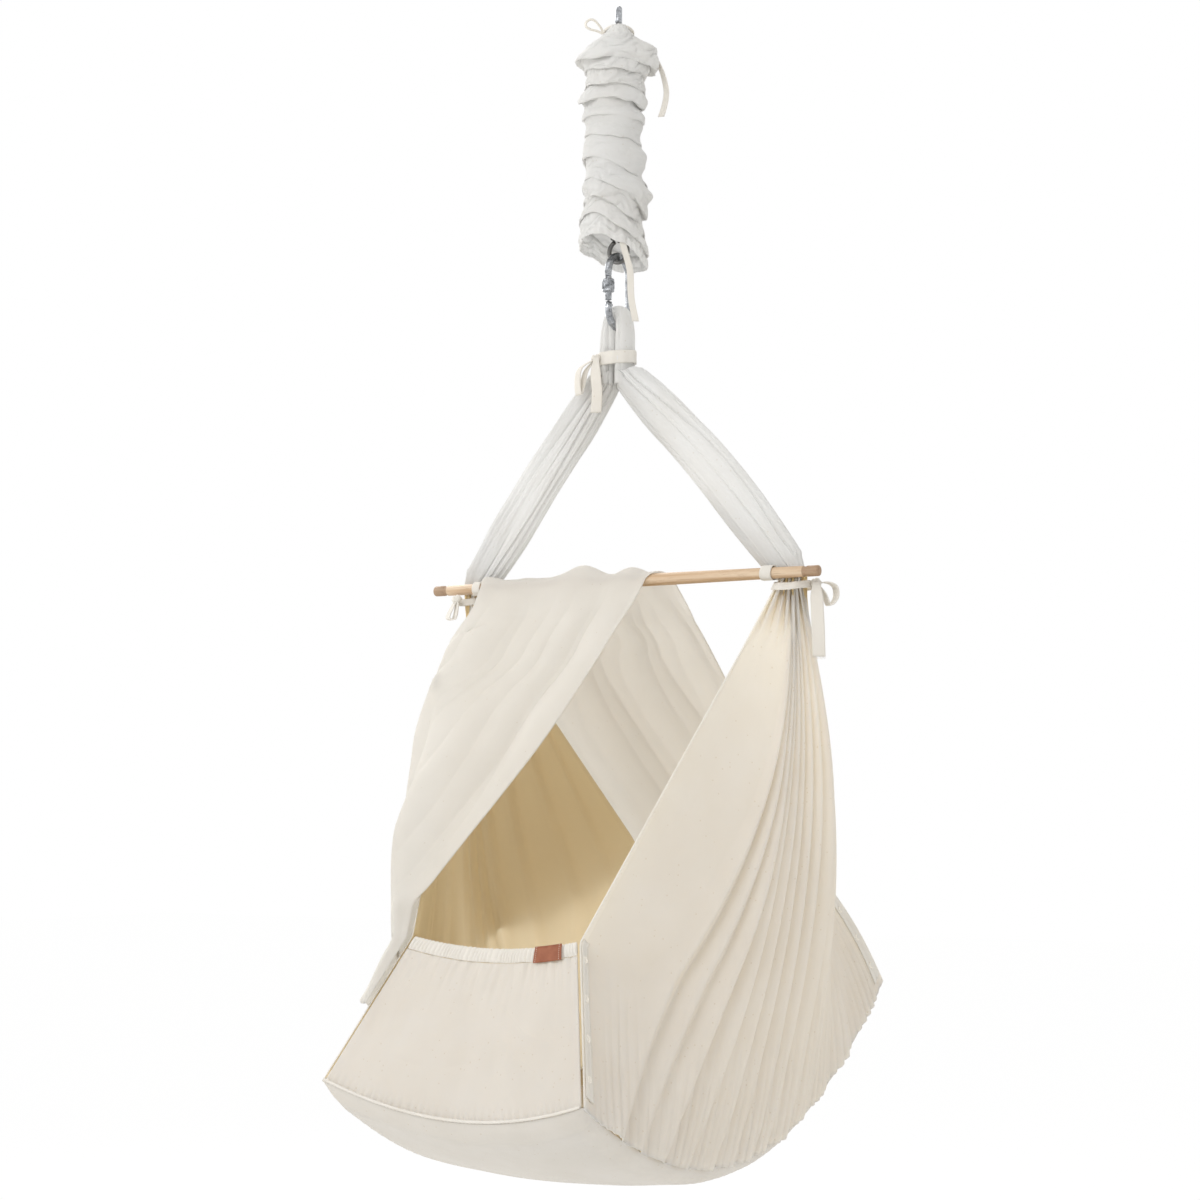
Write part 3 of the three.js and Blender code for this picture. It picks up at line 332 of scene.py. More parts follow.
def link_frame(mesh):
    """The bar, from its nose over the top bend, down the back, round the low bend and up the stub."""
    middle = Matrix.Translation((0, bend_radius, 0))

    def run_on(rim, rise, widen=1):
        edges = [g for g in rim if isinstance(g, bmesh.types.BMEdge)]
        grown = bmesh.ops.extrude_edge_only(mesh, edges=edges)["geom"]
        points = [g for g in grown if isinstance(g, bmesh.types.BMVert)]
        bmesh.ops.translate(mesh, verts=points, vec=(0, 0, rise))
        bmesh.ops.scale(mesh, verts=points, vec=(widen, widen, 1), space=middle)
        return grown

    nose = Matrix.Translation((0, -bend_radius, bend_top_z - nose_length))
    bmesh.ops.create_circle(mesh, cap_ends=False, segments=20, radius=nose_radius, matrix=nose)
    rim = run_on(mesh.edges, 0.0012, gate_radius / nose_radius)
    rim = run_on(rim, nose_length - 0.0014)
    rim = run_on(rim, 0.0002, bar_radius / gate_radius)
    for centre_z, run in ((bend_top_z, bend_low_z - bend_top_z), (bend_low_z, stub_length)):
        start = [g for g in rim if isinstance(g, (bmesh.types.BMEdge, bmesh.types.BMVert))]
        bend = bmesh.ops.spin(
            mesh, geom=start, cent=(0, 0, centre_z), axis=(-1, 0, 0), angle=math.pi, steps=28
        )["geom_last"]
        rim = run_on(bend, run)
    bmesh.ops.holes_fill(mesh, edges=mesh.edges, sides=0)
    bmesh.ops.remove_doubles(mesh, verts=mesh.verts, dist=1e-6)
    bmesh.ops.recalc_face_normals(mesh, faces=mesh.faces)


def link_gate(mesh):
    edge = 0.0007
    outer = gate_radius - bend_radius
    profile = [
        (0, -bend_radius, gate_low_z),
        (0, outer - edge, gate_low_z),
        (0, outer, gate_low_z + edge),
        (0, outer, gate_top_z - edge),
        (0, outer - edge, gate_top_z),
        (0, -bend_radius, gate_top_z),
    ]
    turned(mesh, profile, 24, (0, 0, 1), (0, -bend_radius, 0))


def link_lock(mesh):
    low_z = lock_top_z - lock_length
    step = 0.0012
    inner = gate_radius + 0.0004 - bend_radius
    outer = lock_radius - bend_radius
    collar = [(step, 0), (step / 3, step), (step / 3, 2.4 * step), (step, 2.8 * step), (0, 3.4 * step)]
    profile = [(0, inner, low_z)]
    profile += [(0, outer - inwards, low_z + rise) for inwards, rise in collar]
    profile += [(0, outer - inwards, lock_top_z - rise) for inwards, rise in reversed(collar)]
    profile += [(0, inner, lock_top_z), (0, inner, low_z)]
    turned(mesh, profile, 64, (0, 0, 1), (0, -bend_radius, 0))
    for vertex in mesh.verts:
        reach = Vector((vertex.co.x, vertex.co.y + bend_radius))
        if reach.length > lock_radius - 0.0001:
            cut = knurl_depth * (0.5 + 0.5 * math.cos(knurl_ribs * math.atan2(reach.y, reach.x)))
            vertex.co.x -= reach.x / reach.length * cut
            vertex.co.y -= reach.y / reach.length * cut


def link_cheeks(mesh):
    """The hinge's knuckle on the stub, and its domed rivet heads on both sides."""
    top = Matrix.Translation((0, -bend_radius, stub_top_z))
    dome = top @ Matrix.Diagonal((knuckle_radius, knuckle_radius, knuckle_height, 1))
    bmesh.ops.create_uvsphere(mesh, u_segments=20, v_segments=10, radius=1, matrix=dome)
    for side in (-1, 1):
        start = len(mesh.verts)
        head = Matrix.Translation((side * rivet_x, -bend_radius, hinge_z))
        bmesh.ops.create_uvsphere(mesh, u_segments=16, v_segments=8, radius=rivet_radius, matrix=head)
        mesh.verts.ensure_lookup_table()
        flat = Matrix.Translation((-side * rivet_x, 0, 0))
        bmesh.ops.scale(mesh, verts=mesh.verts[start:], vec=(0.5, 1, 1), space=flat)


link_parts = [
    ("bar", link_frame, "carabiner", "frame"),
    ("rivets", link_cheeks, "carabiner", "gate_pin"),
    ("gate", link_gate, "gate", "gate"),
    ("lock", link_lock, "lock", "lock"),
]
for place_word, origin_z, turn in (("upper", 0, view_turn), ("lower", lower_link_z, 0)):
    for part_word, shaped, body_word, node_word in link_parts:
        link_mesh = bmesh.new()
        shaped(link_mesh)
        bmesh.ops.rotate(link_mesh, verts=link_mesh.verts, matrix=Matrix.Rotation(turn, 3, "Z"))
        bmesh.ops.translate(link_mesh, verts=link_mesh.verts, vec=(0, 0, origin_z))
        piece(
            f"{place_word}_link_{part_word}",
            link_mesh,
            [galvanised.owner],
            f"{place_word}_{body_word}",
            [f"{place_word}_carabiner_{node_word}"],
        )


# Extension spring: 5.6 mm wire wound close, with a round eye of 6 mm wire at each end. Its sleeve
# hides the coil and the upper eye; only the lower eye is seen.
hook_radius = 0.015
hook_wire = 0.003
coil_wire = 0.0028
coil_radius = 0.0182
coil_pitch = 0.0064
top_eye_z = -0.1017
low_eye_z = -0.3337
coil_top_z = -0.1237
coil_low_z = -0.3117
spring_steel = Finish(bpy.data.materials.new("spring_steel"))
oil_film = spring_steel.cloud(spring_steel.place(), 160, 4)
spring_steel.surface(
    {
        "Base Color": spring_steel.tint(oil_film * 1.4 - 0.2, painted("6E6C6A"), painted("8F8E8B")),
        "Metallic": 1,
        "Roughness": oil_film * 0.35 + 0.25,
        "Normal": spring_steel.bump(oil_film, 0.0002, 0.4),
    }
)


def spring_eye(eye_z, coil_end_z, turn):
    mesh = bmesh.new()
    around_wire = Matrix.Translation((hook_radius, 0, 0))
    bmesh.ops.create_circle(mesh, cap_ends=False, segments=14, radius=hook_wire, matrix=around_wire)
    sweep = math.tau * 0.93
    bmesh.ops.spin(
        mesh, geom=mesh.verts[:] + mesh.edges[:], cent=(0, 0, 0), axis=(0, 1, 0), angle=sweep, steps=44
    )
    bmesh.ops.holes_fill(mesh, edges=mesh.edges, sides=0)
    bmesh.ops.recalc_face_normals(mesh, faces=mesh.faces)
    side = 1 if eye_z > coil_end_z else -1
    opening = Matrix.Rotation(math.radians(90 if side > 0 else -90), 3, "Y")
    bmesh.ops.rotate(mesh, verts=mesh.verts, matrix=opening)
    bmesh.ops.rotate(mesh, verts=mesh.verts, matrix=Matrix.Rotation(turn, 3, "Z"))
    bmesh.ops.translate(mesh, verts=mesh.verts, vec=(0, 0, eye_z))
    shank_start_z = eye_z - side * hook_radius
    shank_steps = 14
    ring = None
    for i in range(shank_steps + 1):
        t = i / shank_steps
        reach = coil_radius * math.sin(t * math.pi / 2)
        angle = turn + side * math.pi * (1 - t)
        height = mix(shank_start_z, coil_end_z, smooth(t))
        centre = Matrix.Translation((reach * math.cos(angle), reach * math.sin(angle), height))
        tip = Matrix.Rotation(math.pi / 2 * smooth(t), 4, "X")
        lean = centre @ Matrix.Rotation(angle, 4, "Z") @ tip
        made = bmesh.ops.create_circle(
            mesh, cap_ends=i in (0, shank_steps), segments=12, radius=coil_wire, matrix=lean
        )["verts"]
        if ring:
            old = {e for v in ring for e in v.link_edges if all(w in ring for w in e.verts)}
            new = {e for v in made for e in v.link_edges if all(w in made for w in e.verts)}
            bmesh.ops.bridge_loops(mesh, edges=list(old | new))
        ring = made
    return mesh


for end_word, eye_z, coil_end_z, turn in (
    ("spring_top", top_eye_z, coil_top_z, view_turn),
    ("spring_low", low_eye_z, coil_low_z, 0),
):
    eye_mesh = spring_eye(eye_z, coil_end_z, turn)
    steel = [spring_steel.owner]
    piece(f"{end_word}_eye", eye_mesh, steel, end_word, [f"{end_word}_hook"])

coil_mesh = bmesh.new()
coil_start = Matrix.Translation((coil_radius, 0, coil_top_z)) @ Matrix.Rotation(math.pi / 2, 4, "X")
bmesh.ops.create_circle(coil_mesh, cap_ends=False, segments=10, radius=coil_wire, matrix=coil_start)
coil_turns = (coil_top_z - coil_low_z) / coil_pitch
coil_steps = round(coil_turns * 26)
bmesh.ops.spin(
    coil_mesh,
    geom=coil_mesh.verts[:] + coil_mesh.edges[:],
    cent=(0, 0, 0),
    axis=(0, 0, 1),
    dvec=(0, 0, (coil_low_z - coil_top_z) / coil_steps),
    angle=coil_turns * math.tau,
    steps=coil_steps,
)
bmesh.ops.holes_fill(coil_mesh, edges=coil_mesh.edges, sides=0)
bmesh.ops.recalc_face_normals(coil_mesh, faces=coil_mesh.faces)
wound_coil = piece("wound_coil", coil_mesh, [spring_steel.owner], None, ["spring_coil"])
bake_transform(wound_coil)


# Spring sleeve: a tube of undyed cotton, nearly twice as long as it hangs and pushed up in
# ruches, gathered on a drawcord at the neck and on elastic at the mouth.
def laid(columns, rows, place, cut, around=False, capped=False, flip=False):
    """A cloth laid on place(u, v), u across it and v along it. cut is its flat size, for the weave."""
    mesh = bmesh.new()
    bmesh.ops.create_grid(mesh, x_segments=columns, y_segments=rows, size=0.5)
    weave = mesh.loops.layers.uv.new("cut")
    for face in mesh.faces:
        for corner in face.loops:
            spot = corner.vert.co
            corner[weave].uv = ((spot.x + 0.5) * cut[0], (spot.y + 0.5) * cut[1])
    for vertex in mesh.verts:
        vertex.co = place(min(1, max(0, vertex.co.x + 0.5)), min(1, max(0, vertex.co.y + 0.5)))
    if around:
        bmesh.ops.remove_doubles(mesh, verts=mesh.verts, dist=1e-6)
    if capped:
        ends = bmesh.ops.holes_fill(mesh, edges=mesh.edges, sides=0)["faces"]
        bmesh.ops.poke(mesh, faces=ends)
        bmesh.ops.recalc_face_normals(mesh, faces=mesh.faces)
    if flip:
        bmesh.ops.reverse_faces(mesh, faces=mesh.faces)
    return mesh


def thick(made, thickness, shade_inside=False):
    cloth = made.modifiers.new("cloth_thickness", "SOLIDIFY")
    cloth.thickness = thickness
    cloth.offset = 0
    cloth.use_rim = True
    # The inner faces take the next finish: the painted warm shade of the inside.
    if shade_inside:
        cloth.material_offset = 1


def share_at(shares, t):
    place = min(1.0, max(0.0, t)) * (len(shares) - 1)
    index = min(len(shares) - 2, int(place))
    return mix(shares[index], shares[index + 1], smooth(place - index))


def crest(x):
    """Rounded folds with sharp valleys between them, from 0 to 1, one for each whole step of x."""
    return abs(math.sin(math.pi * x)) ** 0.8


def stray(x, y, z=0.0):
    return noise.noise(Vector((x, y, z)))


def woven(name, light_code, shade_code, thread=0.0012, fleck=0.8, crumple=0.7, through=0.43, alpha=1.0):
    """Plain-weave cloth with slubs and seed flecks. through is the share of light that it lets in."""
    light = painted(light_code)
    shade = painted(shade_code)
    cloth = Finish(bpy.data.materials.new(name))
    place = cloth.place()
    cut = cloth.node("ShaderNodeUVMap", {"uv_map": "cut"})
    turns = math.tau / thread
    warp = cloth.axis(cut, 0)
    weft = cloth.axis(cut, 1)
    warp_wave = cloth.node("ShaderNodeMath", {"operation": "SINE"}, {0: warp * turns})
    weft_wave = cloth.node("ShaderNodeMath", {"operation": "SINE"}, {0: weft * turns})
    threads = warp_wave * weft_wave
    slub_place = cloth.node("ShaderNodeMapping", None, {"Vector": cut, "Scale": (520, 26, 1)})
    slubs = cloth.cloud(slub_place, 1, 2)
    cloud = cloth.cloud(place, 16, 4)
    folds = cloth.cloud(place, 34, 3)
    seeds = cloth.node("ShaderNodeTexVoronoi", None, {"Vector": place, "Scale": 150}, "Distance")
    chance = cloth.node("ShaderNodeTexVoronoi", None, {"Vector": place, "Scale": 150}, "Color")
    picked = cloth.axis(chance, 0)
    ground = cloth.tint(cloud * 1.5 - 0.3, light, shade)
    slubbed = cloth.tint((slubs > 0.63) * 0.3, ground, shade)
    seed_mask = (seeds < 0.16) * (picked > fleck)
    colour = cloth.tint(seed_mask * 0.3, slubbed, painted("B39C74"))
    crumpled = cloth.bump(folds, 0.004, 0.35 * crumple)
    normal = cloth.bump(threads + slubs, thread / 6, 0.35, crumpled)
    front = {
        "Base Color": colour,
        "Roughness": 0.92,
        "Specular IOR Level": 0.2,
        "Alpha": alpha,
        "Normal": normal,
    }
    face = cloth.node("ShaderNodeBsdfPrincipled", None, front)
    behind = cloth.node("ShaderNodeBsdfTranslucent", None, {"Color": light})
    both = cloth.node("ShaderNodeMixShader", None, {0: through, 1: face, 2: behind})
    cloth.node("ShaderNodeOutputMaterial", None, {"Surface": both})
    return cloth.owner


cotton = woven("cotton_cloth", "F3F3F2", "EDEBE7")
# Inner faces of the wings, end panels and base: paler and warmer than the outside, painted warm shade and
# glow of light bounced and let through inside the cradle. The cloth is the same on both faces.
cotton_inside_warm_shade = woven("cotton_cloth_inside_warm_shade", "F8EACB", "F0E0BC", through=0.90)
sleeve_top = -0.026
sleeve_length = 0.313
# How far it stands out on the camera's left and right, from the neck down, in mm.
sleeve_left_shares = [
    14, 25, 41, 50, 38, 36, 37, 44, 38, 41, 37, 38, 40, 40, 38, 36, 42, 36, 37, 41, 46, 48, 47, 46,
]
sleeve_right_shares = [
    12, 31, 57, 58, 50, 40, 39, 44, 35, 42, 40, 36, 38, 45, 43, 36, 43, 53, 44, 40, 38, 40, 45, 46,
]
# Where the ruches hang over, as shares of its length on the left and the right, and how strongly.
sleeve_lips = [
    (0.135, 0.165, 1.0), (0.185, 0.205, 0.7), (0.250, 0.270, 0.9), (0.316, 0.335, 1.0), (0.40, 0.41, 0.4),
    (0.49, 0.505, 0.35), (0.60, 0.655, 0.5), (0.712, 0.775, 1.0), (0.808, 0.855, 0.8), (0.885, 0.94, 0.9),
]
sleeve_slant = 0.017
sleeve_back_drop = 0.013
sleeve_cut = (0.28, 0.56)
sleeve_cloth = 0.0014


def sleeve_place(u, v):
    angle = math.tau * u
    ring_x = math.cos(angle)
    ring_y = math.sin(angle)
    slant = (sleeve_slant * ring_x + sleeve_back_drop * ring_y) * smooth(1.5 * v - 0.4)
    row = v + slant / sleeve_length
    left = share_at(sleeve_left_shares, row)
    right = share_at(sleeve_right_shares, row)
    flutter = stray(2.4 * ring_x + 5, 2.4 * ring_y, 17 * v)
    wander = stray(1.1 * ring_x, 1.1 * ring_y, 7 * v)
    grow = 0.0
    droop = 0.0
    for i, (left_row, right_row, strength) in enumerate(sleeve_lips):
        lip = mix(left_row, right_row, 0.5 + 0.5 * ring_x)
        lip += 0.014 * stray(1.7 * ring_x + 3 * i, 1.7 * ring_y, 2.0)
        off = v - lip
        uneven = 0.75 + 1.5 * stray(1.3 * ring_x, 1.3 * ring_y + 5 * i, 4.0)
        power = strength * min(1.3, max(0.15, uneven))
        if -0.055 < off <= 0:
            grow += power * smooth(1 + off / 0.055)
            droop += power * smooth(1 + off / 0.040)
        elif 0 < off < 0.05:
            turned_in = smooth(off / 0.009)
            grow += power * (1 - 1.55 * turned_in + 0.55 * smooth(off / 0.05))
            droop += power * (1 - 1.9 * turned_in + 0.9 * smooth(off / 0.05))
    tucks = 0.35 + 0.65 * smooth(abs(v - 0.5) / 0.25 - 0.4)
    narrow_turns = 21 * v + 1.3 * ring_x + 0.5 * math.cos(3 * angle) + 1.3 * flutter
    narrow = 0.0024 * tucks * (crest(narrow_turns) - 0.5)
    creases = 0.0009 * tucks * (crest(47 * v + 1.8 * flutter + 1.2 * wander + 2.1 * ring_x) - 0.5)
    fold = (0.0042 * grow + narrow + creases + 0.0026 * wander) * smooth(v / 0.05) * smooth((1 - v) / 0.03)
    pulled = math.exp(-v / 0.05)
    fold -= 0.0030 * pulled * crest(15 * u + 0.5 * wander)
    mouth = smooth((v - 0.90) / 0.08)
    hem = 0.0011 * smooth((v - 0.962) / 0.006) + 0.0009 * mouth * math.cos(29 * angle + 3 * wander)
    hem += 0.0050 * mouth * stray(2.6 * ring_x + 7, 2.6 * ring_y, 3.0) - 0.0016 * mouth
    opened = smooth((v - 0.004) / 0.05)
    wide = 0.001 * mix(left, right, 0.5 + 0.5 * ring_x) + fold + hem
    half_across = mix(neck_half_across - 0.0034, wide, opened)
    roomy = 0.0480 - 0.010 * smooth((v - 0.22) / 0.2)
    deep = max(roomy, 0.0005 * (left + right))
    half_along = mix(neck_half_along - 0.0008, deep + fold * opened + hem, smooth((v + 0.006) / 0.03))
    if v < 0.03:
        gather = 0.0014 * math.cos(24 * angle + 2 * wander) * (1 - smooth(v / 0.03))
        half_across += gather
        half_along += gather
    out = view_across * (half_across * ring_x - 0.007 * smooth(v / 0.2))
    out += Vector((-view_across.y, view_across.x, 0)) * (half_along * ring_y)
    ruched = 0.0016 * stray(1.4 * ring_x, 1.4 * ring_y, 9 * v + 20) * math.sin(math.pi * v)
    ruched += 0.0085 * stray(1.9 * ring_x + 2, 1.9 * ring_y, 1.0) * smooth((v - 0.8) / 0.2)
    hung = 0.0044 * droop * smooth((1 - v) / 0.03)
    return out + Vector((0, 0, sleeve_top - sleeve_length * v + ruched - slant - hung))


sleeve_mesh = laid(150, 318, sleeve_place, sleeve_cut, around=True, flip=True)
spring_sleeve = piece("ruched_sleeve", sleeve_mesh, [cotton], None, ["spring_sleeve"])
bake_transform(spring_sleeve)
thick(spring_sleeve, sleeve_cloth)


# The sleeve's drawcord in its neck hem, and the two cotton tapes that close it: one hangs at the
# neck on the camera's right, one out of the mouth beside the lower link.
def line_through(points):
    """A smooth line through given points, read from 0 to 1 with equal shares from point to point."""
    places = [Vector(p) for p in points]
    held = [places[0] * 2 - places[1], *places, places[-1] * 2 - places[-2]]

    def at(t):
        place = min(1.0, max(0.0, t)) * (len(places) - 1)
        index = min(len(places) - 2, int(place))
        near = held[index : index + 4]
        knots = [0.0]
        for start, end in zip(near, near[1:]):
            knots.append(knots[-1] + max(1e-9, (end - start).length) ** 0.5)
        s = mix(knots[1], knots[2], place - index)

        def between(a, b, i, j):
            return a.lerp(b, (s - knots[i]) / (knots[j] - knots[i]))

        first = [between(near[i], near[i + 1], i, i + 1) for i in range(3)]
        second = [between(first[i], first[i + 1], i, i + 2) for i in range(2)]
        return between(second[0], second[1], 1, 2)

    return at


tape_thickness = 0.0014
tape_row = 0.002


def tape(name, line, across_at, width, length, body, replaces, narrow=None):
    """A flat tape along a line. across_at(t) is the direction of its width; narrow(t) its share of it."""

    def place(u, v):
        share = narrow(v) if narrow else 1
        crease = 0.00025 * math.sin(9 * v * math.pi) * math.sin(math.pi * u)
        across = across_at(v)
        off = across.cross(Vector((0.3, 0.2, 1))).normalized()
        return line(v) + across * ((u - 0.5) * width * share) + off * crease

    mesh = laid(8, max(24, int(length / tape_row)), place, (width, length))
    thick(piece(name, mesh, [cotton_tape], body, replaces), tape_thickness)


def places_from(start, steps):
    """Places that lie steps away from start: across the camera's view, towards it and up."""
    return [start + view_across * a + view_towards * b + Vector((0, 0, c)) for a, b, c in steps]


cotton_tape = woven("cotton_tape", "F1EEE8", "E8E3DA", thread=0.0009, fleck=0.97, crumple=0.3, through=0.25)
drawcord_bow.data.materials.append(cotton_tape)
ring_mesh = bmesh.new()
cord_start = Matrix.Translation((neck_half_across, 0, 0)) @ Matrix.Rotation(math.pi / 2, 4, "X")
bmesh.ops.create_circle(
    ring_mesh, cap_ends=False, segments=12, radius=drawcord_diameter / 2, matrix=cord_start
)
bmesh.ops.spin(
    ring_mesh,
    geom=ring_mesh.verts[:] + ring_mesh.edges[:],
    cent=(0, 0, 0),
    axis=(0, 0, 1),
    angle=math.tau,
    steps=64,
    use_merge=True,
)
bmesh.ops.remove_doubles(ring_mesh, verts=ring_mesh.verts, dist=1e-6)
bmesh.ops.recalc_face_normals(ring_mesh, faces=ring_mesh.faces)
stretch = neck_half_along - neck_half_across
for vertex in ring_mesh.verts:
    reach = math.hypot(vertex.co.x, vertex.co.y)
    vertex.co.y += stretch * vertex.co.y / reach
    vertex.co.z += neck_cord_z
bmesh.ops.rotate(ring_mesh, verts=ring_mesh.verts, matrix=Matrix.Rotation(view_turn, 3, "Z"))
piece("drawcord_ring", ring_mesh, [cotton_tape], "spring_top", ["sleeve_drawcord"])

draw_tape_width = 0.009
upper_tail_length = 0.082
lower_tail_length = 0.114
upper_tail_row = 0.13
upper_tail = sleeve_place(0.0, upper_tail_row) - view_across * 0.001
upper_tail_steps = [
    (0, 0, 0), (0.007, 0, -0.017), (0.0125, 0, -0.043), (0.010, 0, -0.062), (0.0052, 0, -0.078),
]
tail_side = Vector((-view_across.y, view_across.x, 0))
tape(
    "sleeve_neck_tail",
    line_through(places_from(upper_tail, upper_tail_steps)),
    lambda t: tail_side.lerp(-view_across, 0.3 + 0.45 * t).normalized(),
    draw_tape_width,
    upper_tail_length,
    "spring_top",
    ["sleeve_upper_tape"],
)
lower_tail_turn = math.radians(39)
lower_tail_u = ((-lower_tail_turn - view_turn) / math.tau) % 1.0
lower_tail_top = sleeve_place(lower_tail_u, 0.985)
inward = Vector((lower_tail_top.x, lower_tail_top.y, 0)).normalized() * -0.0035
lower_tail_hem = sleeve_place(lower_tail_u, 1.0) + inward
lower_tail_low = lower_tail_hem + Vector((0.009, 0.018, -0.106))
lower_tail_line = line_through(
    [
        lower_tail_top + inward,
        lower_tail_hem,
        lower_tail_hem.lerp(lower_tail_low, 0.35) + Vector((0.004, 0, 0)),
        lower_tail_hem.lerp(lower_tail_low, 0.7) - Vector((0.001, 0, 0)),
        lower_tail_low,
    ]
)
lower_tail_across = Vector((math.sin(lower_tail_turn), math.cos(lower_tail_turn), 0))
tape(
    "sleeve_mouth_tail",
    lower_tail_line,
    lambda t: lower_tail_across.lerp(view_across, 0.2 + 0.5 * t).normalized(),
    draw_tape_width,
    lower_tail_length,
    "spring_low",
    ["sleeve_lower_tape"],
)


# Cloth loop: the cradle's cloth goes up over the lower link's bottom bar and down again. It is
# pleated on the camera's left and one broad fold on its right, and tied below with a tape.
lower_bar_z = -0.4404
neck_low_z = lower_bar_z - 0.060
loop_cut = (0.42, 0.17)


def pleated(turns, sharpness):
    """0 on the cloth's outside, 1 at the bottom of a narrow pleat, once for each whole step."""
    return (1 - abs(math.sin(math.pi * turns))) ** sharpness


def loop_place(u, v):
    angle = math.tau * u
    over = math.pi * v
    on_left = smooth(1.4 - 2.2 * v)
    reach = 0.0148
    strand = abs(math.cos(over))
    rise = math.sin(over)
    centre_x = -math.cos(over) * reach
    straight = smooth((strand - 0.35) / 0.65)
    centre_z = lower_bar_z + 0.0185 * rise - 0.0785 * straight * (1 - rise)
    left_share = 1 + 0.28 * smooth(1 - 2 * v) * straight
    inner_x = mix(abs(centre_x), 0.0105, smooth((straight - 0.55) / 0.45)) * left_share
    centre_x = math.copysign(inner_x, -math.cos(over))
    half_thick = mix(0.0080, 0.0128, smooth(rise * 1.3 - 0.3))
    half_thick = mix(half_thick, 0.0106, straight) * left_share
    half_deep = mix(0.0140, 0.0200, straight)
    depth = mix(0.10, 0.26, on_left)
    folds = mix(5.0, 9.0, on_left)
    wander = 0.35 * stray(math.cos(angle), math.sin(angle), 4 * v)
    fold = 1 - depth * pleated(folds * u + wander, 1.8)
    normal = Vector((-math.cos(over), 0, math.sin(over) * 0.85)).normalized()
    normal = normal.lerp(Vector((math.copysign(1, centre_x), 0, 0)), straight).normalized()
    place = Vector((centre_x, 0, centre_z))
    place += normal * (half_thick * fold * math.cos(angle))
    place += Vector((0, 1, 0)) * (half_deep * fold * math.sin(angle))
    if centre_z < lower_bar_z - 0.012:
        place.x = min(place.x, -0.0004) if v < 0.5 else max(place.x, 0.0004)
    return place


loop_mesh = laid(144, 120, loop_place, loop_cut, around=True, capped=True)
piece("cloth_loop", loop_mesh, [cotton], "cradle", ["gather_loop"])

tape_width = 0.018
neck_tie_z = lower_bar_z - 0.033 - tape_width / 2
neck_knot_place = Vector((-0.0228, -0.0208, neck_tie_z))
neck_band_middle = Vector((-0.0022, 0, neck_tie_z))
neck_band_half_x = 0.0272
neck_band_half_y = 0.0218
tape_slack = 0.0006


def neck_band_place(u, v):
    """The tape once round the gathered cloth, its edges following the pleats below it."""
    angle = math.tau * u
    give = tape_slack * math.cos(9 * angle)
    give += tape_slack * 0.8 * stray(2 * math.cos(angle), 2 * math.sin(angle), 3 * v)
    x = neck_band_middle.x + (neck_band_half_x + give) * math.cos(angle)
    y = neck_band_middle.y + (neck_band_half_y + give) * math.sin(angle)
    z = neck_band_middle.z + (0.5 - v) * tape_width + 0.0012 * math.sin(angle + 0.7)
    return Vector((x, y, z))


neck_band_cut = (math.tau * neck_band_half_x, tape_width)
neck_band_mesh = laid(96, 8, neck_band_place, neck_band_cut, around=True)
neck_band = piece("neck_band", neck_band_mesh, [cotton_tape], "cradle", ["neck_tie"])
thick(neck_band, tape_thickness)


def knot(name, centre, size):
    """A flat tape's knot: a small lump with the tape's last turn across it."""
    mesh = bmesh.new()
    bmesh.ops.create_uvsphere(mesh, u_segments=28, v_segments=18, radius=0.5)
    weave = mesh.loops.layers.uv.new("cut")
    for vertex in mesh.verts:
        p = vertex.co.copy()
        crease = 0.10 * pleated(2.2 * p.z + 0.7 * p.x + 0.2 * stray(3 * p.x, 3 * p.y, 3 * p.z), 2)
        waist = 0.16 * math.exp(-((p.x * 2 + 0.25) / 0.2) ** 2)
        vertex.co = p * (1 - crease - waist + 0.10 * stray(4 * p.x, 4 * p.y, 4 * p.z))
    for face in mesh.faces:
        for corner in face.loops:
            corner[weave].uv = (corner.vert.co.x * size[0], corner.vert.co.z * size[2])
    bmesh.ops.scale(mesh, verts=mesh.verts, vec=size)
    bmesh.ops.rotate(mesh, verts=mesh.verts, matrix=Matrix.Rotation(view_turn, 3, "Z"))
    bmesh.ops.translate(mesh, verts=mesh.verts, vec=centre)
    piece(name, mesh, [cotton_tape], "cradle")


knot("neck_knot", neck_knot_place, (0.014, 0.012, 0.012))


def bow_loop(name, start, places, across, width, length, replaces):
    """A bow's loop of tape, pinched where it leaves and enters the knot."""
    line = line_through([start, *places, start + Vector((0, 0, -0.001))])

    def pinched(t):
        return mix(0.42, 1, math.sin(math.pi * t) ** 0.8)

    tape(name, line, lambda t: across, width, length, "cradle", replaces, narrow=pinched)


short_tape_width = 0.015
neck_bow_width = 0.016
neck_bow_length = 0.105
neck_bow_turn = math.radians(25)
neck_bow_across = Vector((math.cos(neck_bow_turn), -math.sin(neck_bow_turn), 0))
neck_bow_steps = [
    (-0.019, -0.012, -0.015), (-0.0225, -0.012, -0.036), (-0.0205, -0.011, -0.050),
    (-0.0175, -0.008, -0.036), (-0.012, -0.006, -0.016),
]
bow_loop(
    "neck_bow",
    neck_knot_place,
    [neck_knot_place + Vector(step) for step in neck_bow_steps],
    neck_bow_across,
    neck_bow_width,
    neck_bow_length,
    ["neck_tie_bow"],
)
neck_tail_length = 0.078
neck_tail_steps = [
    (0, 0, 0.001), (0.0006, -0.0022, -0.022), (0.0022, -0.0010, -0.048), (-0.0006, 0.0006, -0.076),
]
neck_tail_top = neck_knot_place + view_towards * 0.0076
tape(
    "neck_tail",
    line_through([neck_tail_top + Vector(step) for step in neck_tail_steps]),
    lambda t: view_across.lerp(view_towards, 0.25 * math.sin(3 * t)).normalized(),
    short_tape_width,
    neck_tail_length,
    "cradle",
    ["neck_tie_tail"],
    narrow=lambda t: mix(0.5, 1, smooth(2.5 * t)),
)


